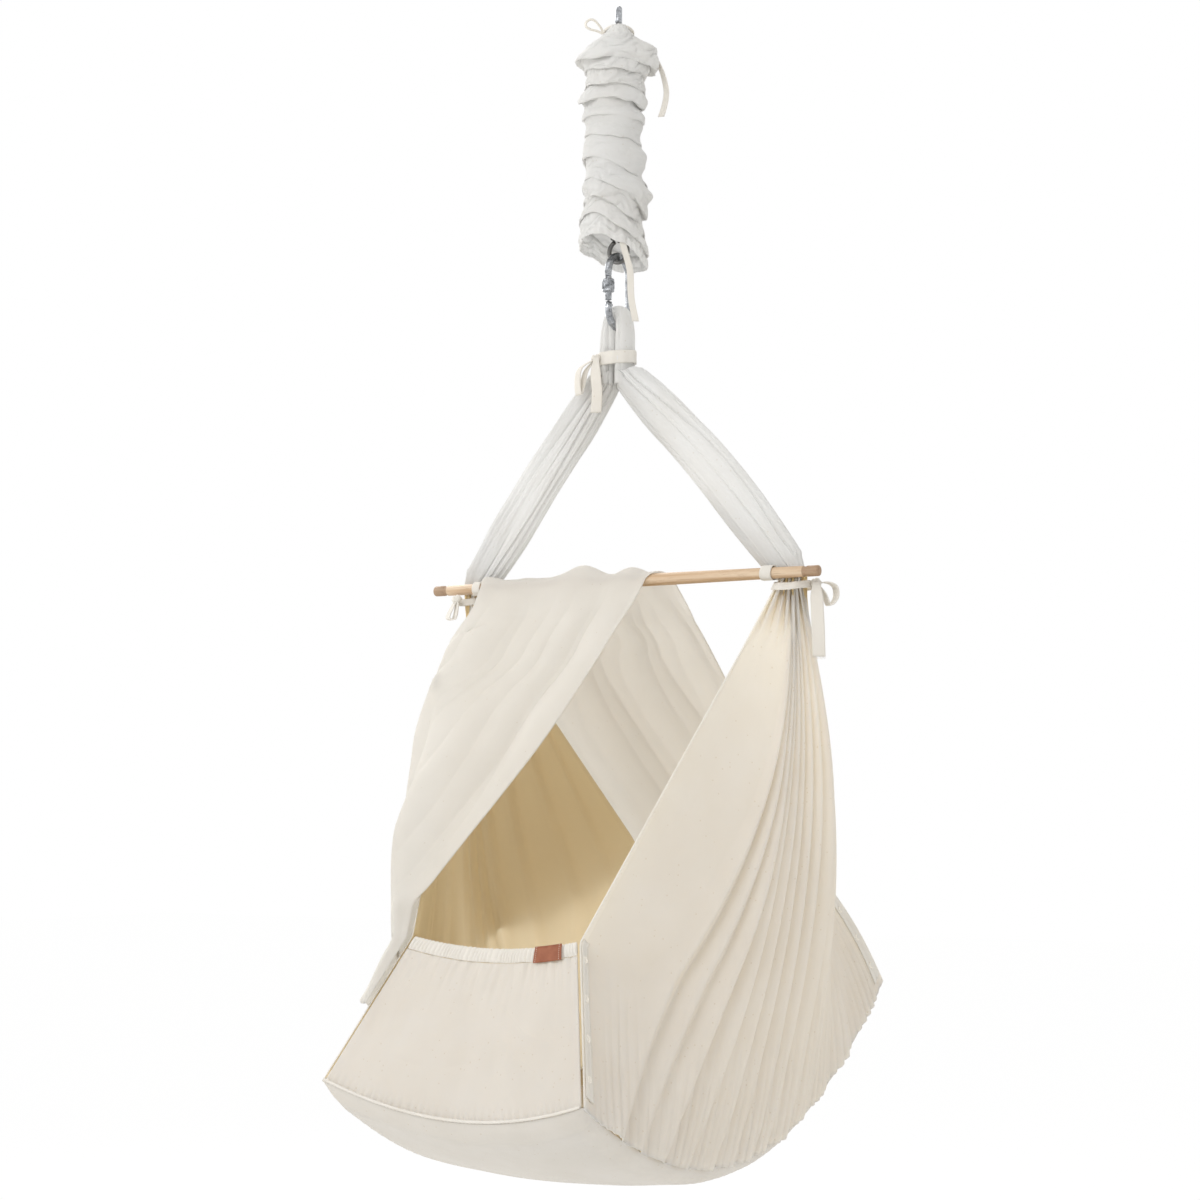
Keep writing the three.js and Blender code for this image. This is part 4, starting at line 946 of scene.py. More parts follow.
# Gathered cloth from the neck to the spreader bar, a bundle to each side that goes behind the bar.
# The left one shows many narrow pleats, the right one a few broad folds.
spreader_z = -0.7884
tie_x = 0.262
bundle_y = 0.0221
leg_width_shares = [0.33, 0.68, 0.94, 1, 0.84, 0.52]
leg_depth_shares = [0.98, 1, 0.96, 0.88, 0.74, 0.58]
leg_width = 0.066
leg_depth = 0.040
leg_cut = (0.62, 0.44)
leg_top_bend = 19 / 348
leg_low_bend = 24 / 348
down = Vector((0, 0, -1))
# Pleats to a side: how many, how deep and how sharp.
leg_folds = {-1: (13, 0.34, 1.7), 1: (8, 0.27, 2.6)}


def leg_place(side):
    start = Vector((side * 0.011, 0, neck_low_z - 0.0003))
    end = Vector((side * tie_x, bundle_y, spreader_z))
    near_start = start.lerp(end, leg_top_bend)
    near_start.y = 0
    near_end = end.lerp(start, leg_low_bend)
    near_end.y = bundle_y
    middle = near_start.lerp(near_end, 0.5) + Vector((side, 0, 1)) * (0.0055 if side > 0 else 0.0012)
    line = line_through([start, near_start, middle, near_end, end])
    count, depth, sharpness = leg_folds[side]

    def place(u, v):
        angle = math.tau * u
        tangent = (line(min(1, v + 0.01)) - line(max(0, v - 0.01))).normalized()
        ends = smooth(1 - 8 * v) + smooth(8 * v - 7)
        tangent = tangent.lerp(down, ends).normalized()
        wide = Vector((0, 1, 0)).cross(tangent).normalized()
        deep = tangent.cross(wide)
        ring_x = math.cos(angle)
        ring_y = math.sin(angle)
        wander = 0.55 * stray(1.3 * ring_x + side, 1.3 * ring_y, 2.4 * v)
        wander += 0.35 * stray(3 * ring_x, 3 * ring_y, 5 * v)
        deepen = 0.35 + 0.65 * math.sin(math.pi * min(1, max(0, v))) ** 0.5
        vary = 0.75 + 0.7 * stray(2.1 * ring_x, 2.1 * ring_y + 4 * side, 3 * v)
        fold = 1 - depth * deepen * vary * pleated(count * u + wander + 0.22 * v * side, sharpness)
        fold -= 0.05 * depth * math.cos(math.tau * (3.1 * count * u + 2 * wander))
        wave = 1 + 0.035 * stray(ring_x, ring_y, 9 * v + 3 * side)
        half_wide = leg_width / 2 * share_at(leg_width_shares, v) * fold * wave
        half_deep = leg_depth / 2 * share_at(leg_depth_shares, v) * fold * wave
        spot = line(v) + wide * (half_wide * ring_x) + deep * (half_deep * ring_y)
        spot.x = side * max(0.0003, side * spot.x)
        return spot

    return place


for side, word in ((-1, "left"), (1, "right")):
    leg_mesh = laid(230, 120, leg_place(side), leg_cut, around=True, capped=True)
    piece(f"{word}_gathered_leg", leg_mesh, [cotton], "cradle", [f"{word}_leg"])


# Spreader bar: a turned beech or oak dowel, 626 mm long, a little thinner towards its ends, with a
# darker groove near each end that keeps the ties on.
bar_half = 0.313
bar_middle_radius = 0.0085
bar_end_radius = 0.00725
groove_in = bar_half - 0.022
groove_out = groove_in + 0.005
wood = Finish(bpy.data.materials.new("bare_wood"))
wood_place = wood.place()
grain_place = wood.node("ShaderNodeMapping", None, {"Vector": wood_place, "Scale": (5, 150, 150)})
grain = wood.cloud(grain_place, 1, 5, Distortion=0.6)
pore_place = wood.node("ShaderNodeMapping", None, {"Vector": wood_place, "Scale": (38, 1500, 1500)})
pores = wood.cloud(pore_place, 1, 2)
wood_ramp = {"stops": [(0.32, painted("B4936F")), (0.5, painted("C9AE90")), (0.72, painted("D8C3A8"))]}
grain_colour = wood.node("ShaderNodeValToRGB", wood_ramp, {"Fac": grain})
pored = wood.tint((pores > 0.62) * 0.4, grain_colour, painted("94704E"))
along_bar = wood.axis(wood_place, 0)
from_middle = wood.node("ShaderNodeMath", {"operation": "ABSOLUTE"}, {0: along_bar})
handled = (from_middle > groove_in - 0.001) * 0.62
wood.surface(
    {
        "Base Color": wood.tint(handled, pored, painted("7E5E44")),
        "Roughness": grain * 0.25 + 0.42,
        "Normal": wood.bump(pores + grain, 0.0002, 0.5),
    }
)
half_profile = [
    (bar_half / 4, bar_middle_radius),
    (groove_in - 0.0012, bar_end_radius),
    (groove_in, bar_end_radius - 0.0009),
    (groove_out - 0.0009, bar_end_radius - 0.0009),
    (groove_out, bar_end_radius),
    (bar_half - 0.0016, bar_end_radius),
    (bar_half - 0.0005, bar_end_radius - 0.0005),
    (bar_half, bar_end_radius - 0.0016),
    (bar_half, 0),
]
bar_profile = [(-x, 0, spreader_z + r) for x, r in reversed(half_profile)]
bar_profile += [(x, 0, spreader_z + r) for x, r in half_profile]
bar_mesh = bmesh.new()
turned(bar_mesh, bar_profile, 40, (1, 0, 0), (0, 0, spreader_z))
piece("turned_bar", bar_mesh, [wood.owner], "cradle", ["spreader_bar"])


# Ties at the bar: on each side a tape is wound round the bar and round the cloth below it, and is
# knotted. The right one ends in a loop and a long frayed tail, the left one in a short loop.
band_top_z = spreader_z - bar_middle_radius - 0.0016
turn_x = tie_x - 0.017 - tape_width / 2
wrap_thickness = 0.001
band_thickness = 0.0012


def bar_radius_at(x):
    share = min(1, max(0, (abs(x) - bar_half / 4) / (groove_in - bar_half / 4)))
    return mix(bar_middle_radius, bar_end_radius, share)


def bar_wrap(word, x, width, turns, lean):
    """Tape wound round the bar, each turn a little over the last."""
    radius = bar_radius_at(x) + 0.0012

    def place(u, v):
        angle = math.tau * turns * v
        over = radius + 0.0011 * v + 0.0004 * math.cos(3 * angle)
        along = x + (u - 0.5) * width + lean * (v - 0.5)
        return Vector((along, over * math.sin(angle), spreader_z + over * math.cos(angle)))

    mesh = laid(8, int(48 * turns), place, (width, math.tau * radius * turns))
    wrap = piece(f"{word}_wrap", mesh, [cotton_tape], "cradle", [f"{word}_bar_turn"])
    thick(wrap, wrap_thickness)


bar_wrap("right", turn_x, tape_width * 0.82, turns=2.2, lean=0.005)
bar_wrap("left", -turn_x, tape_width * 0.72, turns=1.6, lean=-0.004)
tie_half_x = 0.034
tie_half_y = 0.024


def cloth_band(word, side):
    def place(u, v):
        angle = math.tau * u
        give = 0.0009 * math.cos(8 * angle + side)
        give += 0.0007 * stray(2 * math.cos(angle), 2 * math.sin(angle), 2 * v)
        half_x = tie_half_x * 0.72 + 0.003 * v + give
        half_y = tie_half_y + 0.009 * v + give
        rise = 0.0035 * max(0, -math.sin(angle)) ** 2
        z = band_top_z - tape_width * 0.55 * v - rise
        return Vector((side * (tie_x + half_x * math.cos(angle)), bundle_y + half_y * math.sin(angle), z))

    mesh = laid(120, 8, place, (0.17, tape_width * 0.6), around=True, flip=side < 0)
    band = piece(f"{word}_band", mesh, [cotton_tape], "cradle", [f"{word}_cloth_turn"])
    thick(band, band_thickness)


cloth_band("right", 1)
cloth_band("left", -1)
right_knot = Vector((0.2956, 0.0221, -0.8030))
left_knot = Vector((-0.2620, -0.0177, -0.8030))
knot("right_knot", right_knot, (0.0145, 0.013, 0.016))
knot("left_knot", left_knot, (0.0145, 0.012, 0.014))
right_bow_length = 0.09
left_bow_length = 0.062
right_bow_steps = [
    (0.010, 0, -0.013), (0.017, 0, -0.0285), (0.0255, 0, -0.019), (0.0240, 0, -0.0035), (0.012, 0, 0.0015),
]
left_bow_steps = [
    (-0.006, 0, -0.010), (-0.0125, 0, -0.0265), (-0.0045, 0.004, -0.0285), (0, 0.005, -0.012),
]
bow_loop(
    "right_bow",
    right_knot,
    places_from(right_knot, right_bow_steps),
    (view_towards + view_across * 0.35).normalized(),
    tape_width,
    right_bow_length,
    ["right_bar_bow"],
)
right_tail_length = 0.098
right_tail_top = right_knot + view_towards * 0.0078
right_tail_steps = [(0, 0, 0.002), (0, 0.0035, -0.022), (0.0016, 0.0012, -0.058), (0.0026, 0, -0.096)]
tape(
    "right_tail",
    line_through(places_from(right_tail_top, right_tail_steps)),
    lambda t: view_across.lerp(view_towards, 0.2 * math.sin(4 * t)).normalized(),
    tape_width * 0.95,
    right_tail_length,
    "cradle",
    ["right_bar_tail"],
    narrow=lambda t: mix(0.6, 1, smooth(3 * t)),
)
thread_mesh = bmesh.new()
thread_radius = 0.00018
thread_count = 17
for i in range(thread_count):
    share = i / (thread_count - 1) - 0.5
    root = right_tail_top + view_across * (0.0026 + share * tape_width * 0.9) + Vector((0, 0, -0.0955))
    length = 0.0035 + 0.0022 * stray(7 * share, 2.0)
    lean = Matrix.Rotation(0.35 * stray(9 * share, 5.0), 4, view_towards)
    spot = Matrix.Translation(root) @ lean @ Matrix.Translation((0, 0, -length / 2))
    bmesh.ops.create_cone(
        thread_mesh,
        cap_ends=True,
        segments=5,
        radius1=thread_radius,
        radius2=thread_radius,
        depth=length,
        matrix=spot,
    )
piece("frayed_threads", thread_mesh, [cotton_tape], "cradle")
bow_loop(
    "left_bow",
    left_knot,
    places_from(left_knot, left_bow_steps),
    (view_towards + view_across * 0.5).normalized(),
    short_tape_width,
    left_bow_length,
    ["left_bar_bow"],
)


# Wings: the long sides, one piece of cotton each, gathered into the ties at the bar's ends and
# sewn in small gathers to the base's long seams. Pleats fan down from the ties.
half_width = 0.200
half_span = 0.375
panel_top_half = 0.130
panel_top_y = 0.282
seam_low_z = -1.5504
front_corner_z = -1.4484
back_corner_z = -1.3394
front_top_z = -1.2604
back_top_z = -1.1794
middle_belly = 0.014
end_belly = 0.034
left_lift = 0.010
low_offset = 0.060
corner_share = 0.7
pull_share = 0.34
wing_bulge = 0.034
wing_cut = (0.92, 0.80)
wing_cloth = 0.002
wing_hem_share = 0.0135


def seam_z(x, y):
    end = front_corner_z if y < -low_offset else back_corner_z
    run = half_span - low_offset if y < -low_offset else half_span + low_offset
    across = 1 - min(1, (x / half_width) ** 2)
    along = min(1, ((y + low_offset) / run) ** 2)
    lift = left_lift * smooth(0.5 - 0.5 * x / half_width) * smooth((-0.12 - y) / 0.255)
    return seam_low_z + (end - seam_low_z) * along - mix(middle_belly, end_belly, along) * across + lift


def wing_base_place(side, u):
    y = mix(-half_span, half_span, u)
    return Vector((side * (half_width + 0.0004), y, seam_z(side * half_width, y) - 0.0022))


def wing_top_place(side, u):
    x = tie_x + tie_half_x * mix(-0.42, 0.42, u)
    y = bundle_y + tie_half_y * mix(-0.22, 0.3, u)
    return Vector((side * x, y, spreader_z - 0.0013))


def plain_wing(side, u, v):
    place = wing_top_place(side, u).lerp(wing_base_place(side, u), v)
    near_front = smooth(1 - u / pull_share)
    near_back = smooth(1 - (1 - u) / pull_share)
    tent = v / corner_share if v < corner_share else (1 - v) / (1 - corner_share)
    front_corner = Vector((side * panel_top_half, -panel_top_y, front_top_z))
    back_corner = Vector((side * panel_top_half, panel_top_y, back_top_z))
    front_straight = wing_top_place(side, 0).lerp(wing_base_place(side, 0), corner_share)
    back_straight = wing_top_place(side, 1).lerp(wing_base_place(side, 1), corner_share)
    place += (front_corner - front_straight) * (near_front * tent)
    place += (back_corner - back_straight) * (near_back * tent)
    inwards = smooth(u / pull_share) * smooth((1 - u) / pull_share)
    sag = max(0.0, math.sin(math.pi * v))
    place.x += side * sag ** mix(1.15, 0.9, v) * wing_bulge * inwards
    behind = smooth((u - 0.45) / 0.25) * smooth((1.04 - u) / 0.22)
    place.x += side * 0.014 * behind * sag
    flank = smooth((u - 0.72) / 0.28) * math.sin(math.pi * min(1, max(0, (v - corner_share + 0.08) / 0.38)))
    place += Vector((side * 0.012, 0.007, 0)) * flank
    return place


def surface_normal(surface, u, v):
    step = 1e-3
    along = surface(u + step, v) - surface(u - step, v)
    across = surface(u, v + step) - surface(u, v - step)
    return along.cross(across).normalized()


# Each pleat of a wing: where it runs across the cloth, how deep its step is and how wide its face.
wing_pleats = {
    1: [
        (0.262, 1.0, 0.040), (0.308, 0.7, 0.034), (0.352, 1.0, 0.036), (0.398, 0.75, 0.034),
        (0.448, 1.0, 0.038), (0.500, 0.8, 0.036), (0.552, 1.0, 0.038), (0.610, 0.8, 0.040),
        (0.672, 0.9, 0.044), (0.740, 0.7, 0.050), (0.820, 0.7, 0.060), (0.905, 0.5, 0.060),
    ],
    -1: [
        (0.120, 0.35, 0.060), (0.220, 0.6, 0.070), (0.310, 0.5, 0.060), (0.400, 0.65, 0.060),
        (0.490, 0.6, 0.060), (0.560, 0.9, 0.060), (0.635, 1.0, 0.060), (0.700, 0.9, 0.060),
        (0.775, 1.0, 0.070), (0.860, 0.8, 0.070), (0.930, 0.5, 0.050),
    ],
}


def wing_relief(side, u, v):
    """How far the cloth stands out of its plain surface: knife pleats, soft folds, seam gathers."""
    relief = 0.0
    for line_u, depth, face in wing_pleats[side]:
        fan = 0.11 + 0.19 * smooth((0.52 - line_u) / 0.27) * smooth(line_u / 0.27)
        strays = 0.006 * stray(1.4 * v, 9 * line_u + side)
        off = (u - line_u + fan * (v - 0.45) - strays * v) / (face * (0.78 + 0.55 * v))
        if -1 < off < 0:
            relief += depth * smooth(1 + off) * 0.5
        elif 0 <= off < 1:
            step = smooth(1 - off / 0.36)
            relief += depth * (step * 0.5 - 0.5 * smooth(1 - off) * (1 - step))
    reach = math.sin(math.pi * min(1, v * 0.82 + 0.07)) ** 0.5
    soft = 0.5 * stray(5.2 * u + 3 * side, 1.6 * v) + 0.3 * stray(13 * u, 1.5 * v + side)
    gathers = crest(61 * u + 1.5 * stray(6 * u, 3 * side))
    gathers *= smooth((v - 0.74 - 0.16 * stray(14 * u, side)) / 0.22)
    gathers *= 0.0048 * (0.5 + 1.1 * abs(stray(9 * u, 7.0)))
    quiet = smooth(u / 0.05) * smooth((1 - u) / 0.05)
    deep = 0.0105 + max(0, 0.0085 * side) * smooth(v / 0.8)
    return (deep * relief * reach + 0.0060 * soft * reach + gathers) * quiet


def wing_place(side):
    def plain(u, v):
        return plain_wing(side, u, v)

    def place(u, v):
        eased = v ** 1.12
        spot = plain(u, eased)
        normal = surface_normal(plain, min(0.998, max(0.002, u)), min(0.97, max(0.03, eased)))
        if normal.x * side < 0:
            normal.negate()
        spot += normal * wing_relief(side, u, eased)
        bunch = (1 - smooth(eased / 0.16)) * smooth(eased / 0.004)
        zigzag = math.cos(math.tau * 9 * u + 0.8 * side)
        spot += Vector((0.0045 * side, -0.0062, 0)) * (zigzag * bunch)
        spot += Vector((0, -0.004, 0)) * (math.cos(math.tau * 23 * u) * 0.4 * bunch)
        hem = smooth((wing_hem_share - u) / 0.003) + smooth((u - 1 + wing_hem_share) / 0.003)
        spot += normal * (0.0011 * hem * smooth(eased / 0.08))
        return spot

    return place


for side, word in ((-1, "left"), (1, "right")):
    wing_mesh = laid(380, 116, wing_place(side), wing_cut, flip=side > 0)
    # Outside cotton; the inner faces are painted warm shade.
    finishes = [cotton, cotton_inside_warm_shade]
    wing = piece(f"{word}_cloth_side", wing_mesh, finishes, "cradle", [f"{word}_wing"])
    thick(wing, wing_cloth, shade_inside=True)


# Press studs: four on each upright edge of the wings, set in a doubled strip beside the end
# panels. Each shows as a pressed ring in the cloth.
strip_width = 0.015
strip_length = 0.16
strip_thickness = 0.0012
stud_radius = 0.0052
stud_rows = 4
stud_plastic = Finish(bpy.data.materials.new("stud_plastic"))
stud_cloud = stud_plastic.cloud(stud_plastic.place(), 300, 2)
stud_plastic.surface(
    {
        "Base Color": stud_plastic.tint(stud_cloud, painted("EFEBE2"), painted("E0D9CB")),
        "Roughness": stud_cloud * 0.2 + 0.4,
        "Normal": stud_plastic.bump(stud_cloud, 0.0001, 0.3),
    }
)


def stud_strip(side, end, word):
    edge = 0 if end < 0 else 1
    inwards = 1 if end < 0 else -1
    width_share = strip_width / (2 * half_span)
    top_share = corner_share + width_share
    low_share = 1 - width_share
    surface = wing_place(side)

    def raised(u, v, lift):
        uu = edge + inwards * width_share * (u + 0.16)
        vv = mix(top_share, low_share, v)
        spot = surface(uu, vv)
        along = surface(uu + inwards * 0.004, vv) - spot
        across = surface(uu, vv + 0.01) - spot
        normal = along.cross(across).normalized()
        if normal.x * side < 0:
            normal.negate()
        return spot + normal * lift, normal

    lift = wing_cloth / 2 + 0.0010
    strip_mesh = laid(8, 60, lambda u, v: raised(u, v, lift)[0], (strip_width, strip_length))
    strip = piece(f"{word}_stud_strip", strip_mesh, [cotton_tape], "cradle", [f"{word}_snaps"])
    thick(strip, strip_thickness)
    mesh = bmesh.new()
    profile = [
        (0, 0, 0.0002), (0.0019, 0, 0.0002), (0.0026, 0, 0.0005), (0.0032, 0, 0.0012), (0.0042, 0, 0.0014),
        (stud_radius - 0.0003, 0, 0.0009), (stud_radius, 0, 0), (stud_radius, 0, -0.0006), (0, 0, -0.0006),
    ]
    for i in range(stud_rows):
        stud = bmesh.new()
        turned(stud, profile, 24, (0, 0, 1))
        spot, normal = raised(0.5, (i + 0.5) / stud_rows, lift + 0.0006)
        place = Matrix.Translation(spot) @ normal.to_track_quat("Z", "Y").to_matrix().to_4x4()
        bmesh.ops.transform(stud, matrix=place, verts=stud.verts)
        held = bpy.data.meshes.new("one_stud")
        stud.to_mesh(held)
        stud.free()
        mesh.from_mesh(held)
        bpy.data.meshes.remove(held)
    piece(f"{word}_studs", mesh, [stud_plastic.owner], "cradle")


for side, side_word in ((-1, "left"), (1, "right")):
    for end, end_word in ((-1, "front"), (1, "back")):
        stud_strip(side, end, f"{side_word}_{end_word}")


# End panels: cotton, sewn to the base's short seams and gathered along the top on elastic. They
# snap to the wings; on the real cradle they also fold down outwards. The front one has a blank leather tag
# on its hem.
edge_gap = 0.0036
hem_height = 0.016
hem_sag = 0.012
panel_cloth = 0.002
panel_weave = (0.40, 0.20)
hem_weave = (0.04, 0.30)
seam_cord_weave = (0.013, 0.40)
panel_corner_z = {-1: front_corner_z, 1: back_corner_z}
panel_top_z = {-1: front_top_z, 1: back_top_z}
panel_tall = {end: panel_top_z[end] - panel_corner_z[end] for end in (-1, 1)}


def panel_place(end):
    def place(u, v):
        across = 2 * u - 1
        low_x = (half_width - edge_gap) * across
        low = Vector((low_x, end * (half_span - 0.001), seam_z(low_x, end * half_span) + 0.0008))
        sag = hem_sag * (1 - across ** 2)
        high = Vector(((panel_top_half - edge_gap) * across, end * panel_top_y, panel_top_z[end] - sag))
        bow = math.sin(math.pi * min(1, max(0, v))) * (1 - across ** 2)
        return low.lerp(high, v) + Vector((0, end * 0.006 * bow, 0))

    return place


def panel_cloth_place(end):
    plain = panel_place(end)
    top_share = 1 - hem_height / panel_tall[end]

    def place(u, v):
        eased = v * top_share
        spot = plain(u, eased)
        edge = smooth(u / 0.04) * smooth((1 - u) / 0.04)
        near_hem = smooth((v - 0.45) / 0.55)
        ripples = 0.0034 * near_hem ** 2 * stray(34 * u, 2.5 * v + end)
        drape = 0.0075 * stray(3.4 * u + 2 * end, 1.6 * v) + 0.0042 * stray(10 * u, 2.4 * v + 3 * end)
        low_gather = 0.0009 * (1 - smooth(v / 0.12)) * math.cos(math.tau * (37 * u + stray(9 * u, end)))
        creases = 0.0016 * crest(4.1 * v + 2.2 * u + 1.3 * stray(2.6 * u, 1.9 * v + end))
        creases *= smooth(abs(stray(3.1 * u + end, 2.3 * v)) * 2.2)
        drape = (drape + creases) * math.sin(math.pi * min(1, v + 0.08))
        spot.y += end * (ripples + drape + low_gather) * edge
        return spot

    return place


def hem_place(end):
    plain = panel_place(end)
    low_share = 1 - (hem_height - 0.0006) / panel_tall[end]

    def place(u, v):
        angle = math.tau * u
        flute = crest(46 * v + 1.6 * stray(8 * v, end))
        uneven = 0.7 + 0.6 * abs(stray(15 * v, 4.0 + end))
        half_thick = 0.0016 + 0.0030 * flute * uneven
        seam = math.exp(-((math.sin(angle) + 0.72) / 0.13) ** 2)
        rise = 0.5 + 0.5 * math.sin(angle) * (1 + 0.16 * flute * uneven * max(0, math.sin(angle)))
        spot = plain(v, mix(low_share, 1, rise))
        spot.y += end * (half_thick - 0.0006 * seam) * math.cos(angle)
        return spot

    return place


seam_cord_half = half_width - edge_gap


def seam_cord_place(end):
    def place(u, v):
        x = mix(-seam_cord_half, seam_cord_half, v)
        angle = math.tau * u
        radius = 0.0019 + 0.00025 * math.cos(math.tau * 70 * v) + 0.0002 * stray(30 * v, end)
        centre = Vector((x, end * (half_span + 0.0023), seam_z(x, end * half_span) + 0.002))
        return centre + Vector((0, radius * math.cos(angle), radius * math.sin(angle)))

    return place


fold_band = 0.07
for end, word in ((-1, "front"), (1, "back")):
    body = f"{word}_end"
    fold_start = Vector((0, end * half_span, panel_corner_z[end]))
    fold_end = Vector((0, end * panel_top_y, panel_top_z[end]))
    fold_end = fold_start + (fold_end - fold_start).normalized() * fold_band
    panel_mesh = laid(230, 110, panel_cloth_place(end), panel_weave, flip=end > 0)
    # Outside cotton; the inner faces are painted warm shade.
    finishes = [cotton, cotton_inside_warm_shade]
    panel = piece(f"{word}_end_cloth", panel_mesh, finishes, None, [f"{word}_panel"])
    thick(panel, panel_cloth, shade_inside=True)
    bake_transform(panel)
    hem_mesh = laid(32, 420, hem_place(end), hem_weave, around=True, capped=True)
    piece(f"{word}_ruched_hem", hem_mesh, [cotton_tape], body, [f"{word}_elastic_hem"])
    cord_mesh = laid(16, 240, seam_cord_place(end), seam_cord_weave, around=True, capped=True)
    cord = piece(f"{word}_seam_cord", cord_mesh, [cotton_tape], None, [f"{word}_piping"])
    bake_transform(cord)

leather = Finish(bpy.data.materials.new("tag_leather"))
leather_place = leather.place()
leather_cloud = leather.cloud(leather_place, 120, 4)
leather_grain = leather.node("ShaderNodeTexVoronoi", None, {"Vector": leather_place, "Scale": 1300})
leather.surface(
    {
        "Base Color": leather.tint(leather_cloud * 1.5 - 0.25, painted("A0664C"), painted("84503C")),
        "Roughness": leather_cloud * 0.25 + 0.55,
        "Specular IOR Level": 0.25,
        "Normal": leather.bump(leather_grain, 0.0002, 0.5),
    }
)
tag_size = (0.040, 0.0185)
tag_middle = 0.5 + 0.090 / (2 * panel_top_half)
hem_width = 2 * (panel_top_half - edge_gap)
tag_thickness = 0.0018


def tag_place(u, v):
    plain = panel_place(-1)
    uu = tag_middle + (u - 0.5) * tag_size[0] / hem_width
    vv = 1.012 - (1 - v) * tag_size[1] / panel_tall[-1]
    spot = plain(uu, min(1, vv))
    spot.z += max(0, vv - 1) * panel_tall[-1]
    curl = 0.0004 * math.sin(math.pi * v) + 0.0003 * math.cos(math.tau * u) * (1 - v)
    return spot + Vector((0, -0.0056 - curl, -0.0004))


tag_mesh = laid(36, 24, tag_place, tag_size)
tag = piece("blank_leather_tag", tag_mesh, [leather.owner], "front_end", ["leather_tag"])
thick(tag, tag_thickness)
worn_edge = tag.modifiers.new("worn_edge", "BEVEL")
worn_edge.width = 0.0004
worn_edge.segments = 2
worn_edge.limit_method = "ANGLE"
worn_edge.angle_limit = math.radians(40)
stitch_rows = 8
stitch_mesh = bmesh.new()
for edge_share in (0.075, 0.925):
    for i in range(stitch_rows):
        spot = tag_place(edge_share, (i + 0.5) / stitch_rows) + Vector((0, -tag_thickness / 2 - 0.0001, 0))
        lay = Matrix.Translation(spot) @ Matrix.Rotation(math.radians(14), 4, "X")
        shape = lay @ Matrix.Diagonal((0.00032, 0.00022, 0.00095, 1))
        bmesh.ops.create_uvsphere(stitch_mesh, u_segments=8, v_segments=6, radius=1, matrix=shape)
piece("tag_stitches", stitch_mesh, [cotton_tape], "front_end")


# Base: the underside hangs in a long curve, lowest in front of its middle, and rounds up to the
# seams all round. Inside it lies a thin mattress, filled and quilted flat.
base_depth = 0.0185
base_thickness = 0.002
side_round = 0.030
end_round = 0.030


def base_floor(x, y):
    side_in = min(1, (half_width - abs(x)) / side_round)
    end_in = min(1, (half_span - abs(y)) / end_round)
    rise = math.sqrt(max(0, 1 - (1 - side_in) ** 2)) * math.sqrt(max(0, 1 - (1 - end_in) ** 2))
    crease = 0.0022 * stray(6 * x, 5 * y) + 0.0012 * stray(15 * x, 9 * y + 4)
    gathers = 0.0008 * math.cos(math.tau * 62 * y) * (1 - smooth((half_width - abs(x)) / 0.05))
    return seam_z(x, y) + (crease + gathers - base_depth) * rise


def base_place(u, v):
    x = half_width * math.sin(math.pi * (u - 0.5))
    y = half_span * math.sin(math.pi * (v - 0.5))
    band = 0.0009 * math.exp(-(((half_span - abs(y)) - 0.019) / 0.0016) ** 2)
    return Vector((x, y, base_floor(x, y) + band))


base_mesh = laid(150, 240, base_place, (0.44, 0.90), flip=True)
# The base cloth is painted greyer and darker than the sides: painted shade of the underside, which faces
# down. Its inner faces take the painted warm shade of the inside.
shaded_base_cotton = woven("shaded_base_cotton", "DBD8D3", "D3CFC8", through=0.12)
base = piece("base_cloth", base_mesh, [shaded_base_cotton, cotton_inside_warm_shade], "cradle", ["base_tray"])
thick(base, base_thickness, shade_inside=True)

mattress_half_x = 0.186
mattress_half_y = 0.361
mattress_low = -0.0165
mattress_high = 0.0085
mattress_round = 0.016
mattress_swell = 0.005
quilt_across = 0.093
quilt_along = 0.12
quilt_depth = 0.0022
fill_steps = 20


def mattress_place(point):
    """From a flat block of half sizes 1 to the mattress, with rounded sides, on the base's curve."""
    x = mattress_half_x * point.x
    y = mattress_half_y * point.y
    near_side = max(0, 1 - (mattress_half_x - abs(x)) / mattress_round)
    near_end = max(0, 1 - (mattress_half_y - abs(y)) / mattress_round)
    near = min(1, math.hypot(near_side, near_end))
    middle = (mattress_low + mattress_high) / 2
    half = (mattress_high - mattress_low) / 2 * math.sqrt(max(0.02, 1 - near ** 2))
    return Vector((x, y, seam_z(x, y) + middle + half * point.z))


mattress_mesh = bmesh.new()
bmesh.ops.create_cube(mattress_mesh, size=2)
flat_edges = [e for e in mattress_mesh.edges if abs(e.verts[0].co.z - e.verts[1].co.z) < 0.1]
bmesh.ops.subdivide_edges(mattress_mesh, edges=flat_edges, cuts=63, use_grid_fill=True)
for vertex in mattress_mesh.verts:
    vertex.co = mattress_place(vertex.co)
bmesh.ops.recalc_face_normals(mattress_mesh, faces=mattress_mesh.faces)


def filled(made, voxel, pressure, limit):
    """Swells a closed mesh of even faces as its filling does, nowhere by more than limit."""
    even = made.modifiers.new("even_faces", "REMESH")
    even.mode = "VOXEL"
    even.voxel_size = voxel
    bpy.context.view_layer.update()
    seen_mesh = bpy.data.meshes.new_from_object(made.evaluated_get(bpy.context.evaluated_depsgraph_get()))
    made.modifiers.remove(even)
    made.data = seen_mesh
    rest = [v.co.copy() for v in made.data.vertices]
    fill = made.modifiers.new("filling", "CLOTH")
    fill.settings.quality = 5
    fill.settings.mass = 0.25
    fill.settings.use_pressure = True
    fill.settings.uniform_pressure_force = pressure
    fill.settings.effector_weights.gravity = 0
    fill.collision_settings.use_collision = False
    for step in range(1, fill_steps + 1):
        bpy.context.scene.frame_set(step)
    swollen = made.evaluated_get(bpy.context.evaluated_depsgraph_get()).data
    moved = [v.co.copy() for v in swollen.vertices]
    made.modifiers.remove(fill)
    bpy.context.scene.frame_set(1)
    for vertex, start, end in zip(made.data.vertices, rest, moved):
        shift = end - start
        if shift.length > limit:
            shift *= limit / shift.length
        vertex.co = start + shift
    made.data.update()


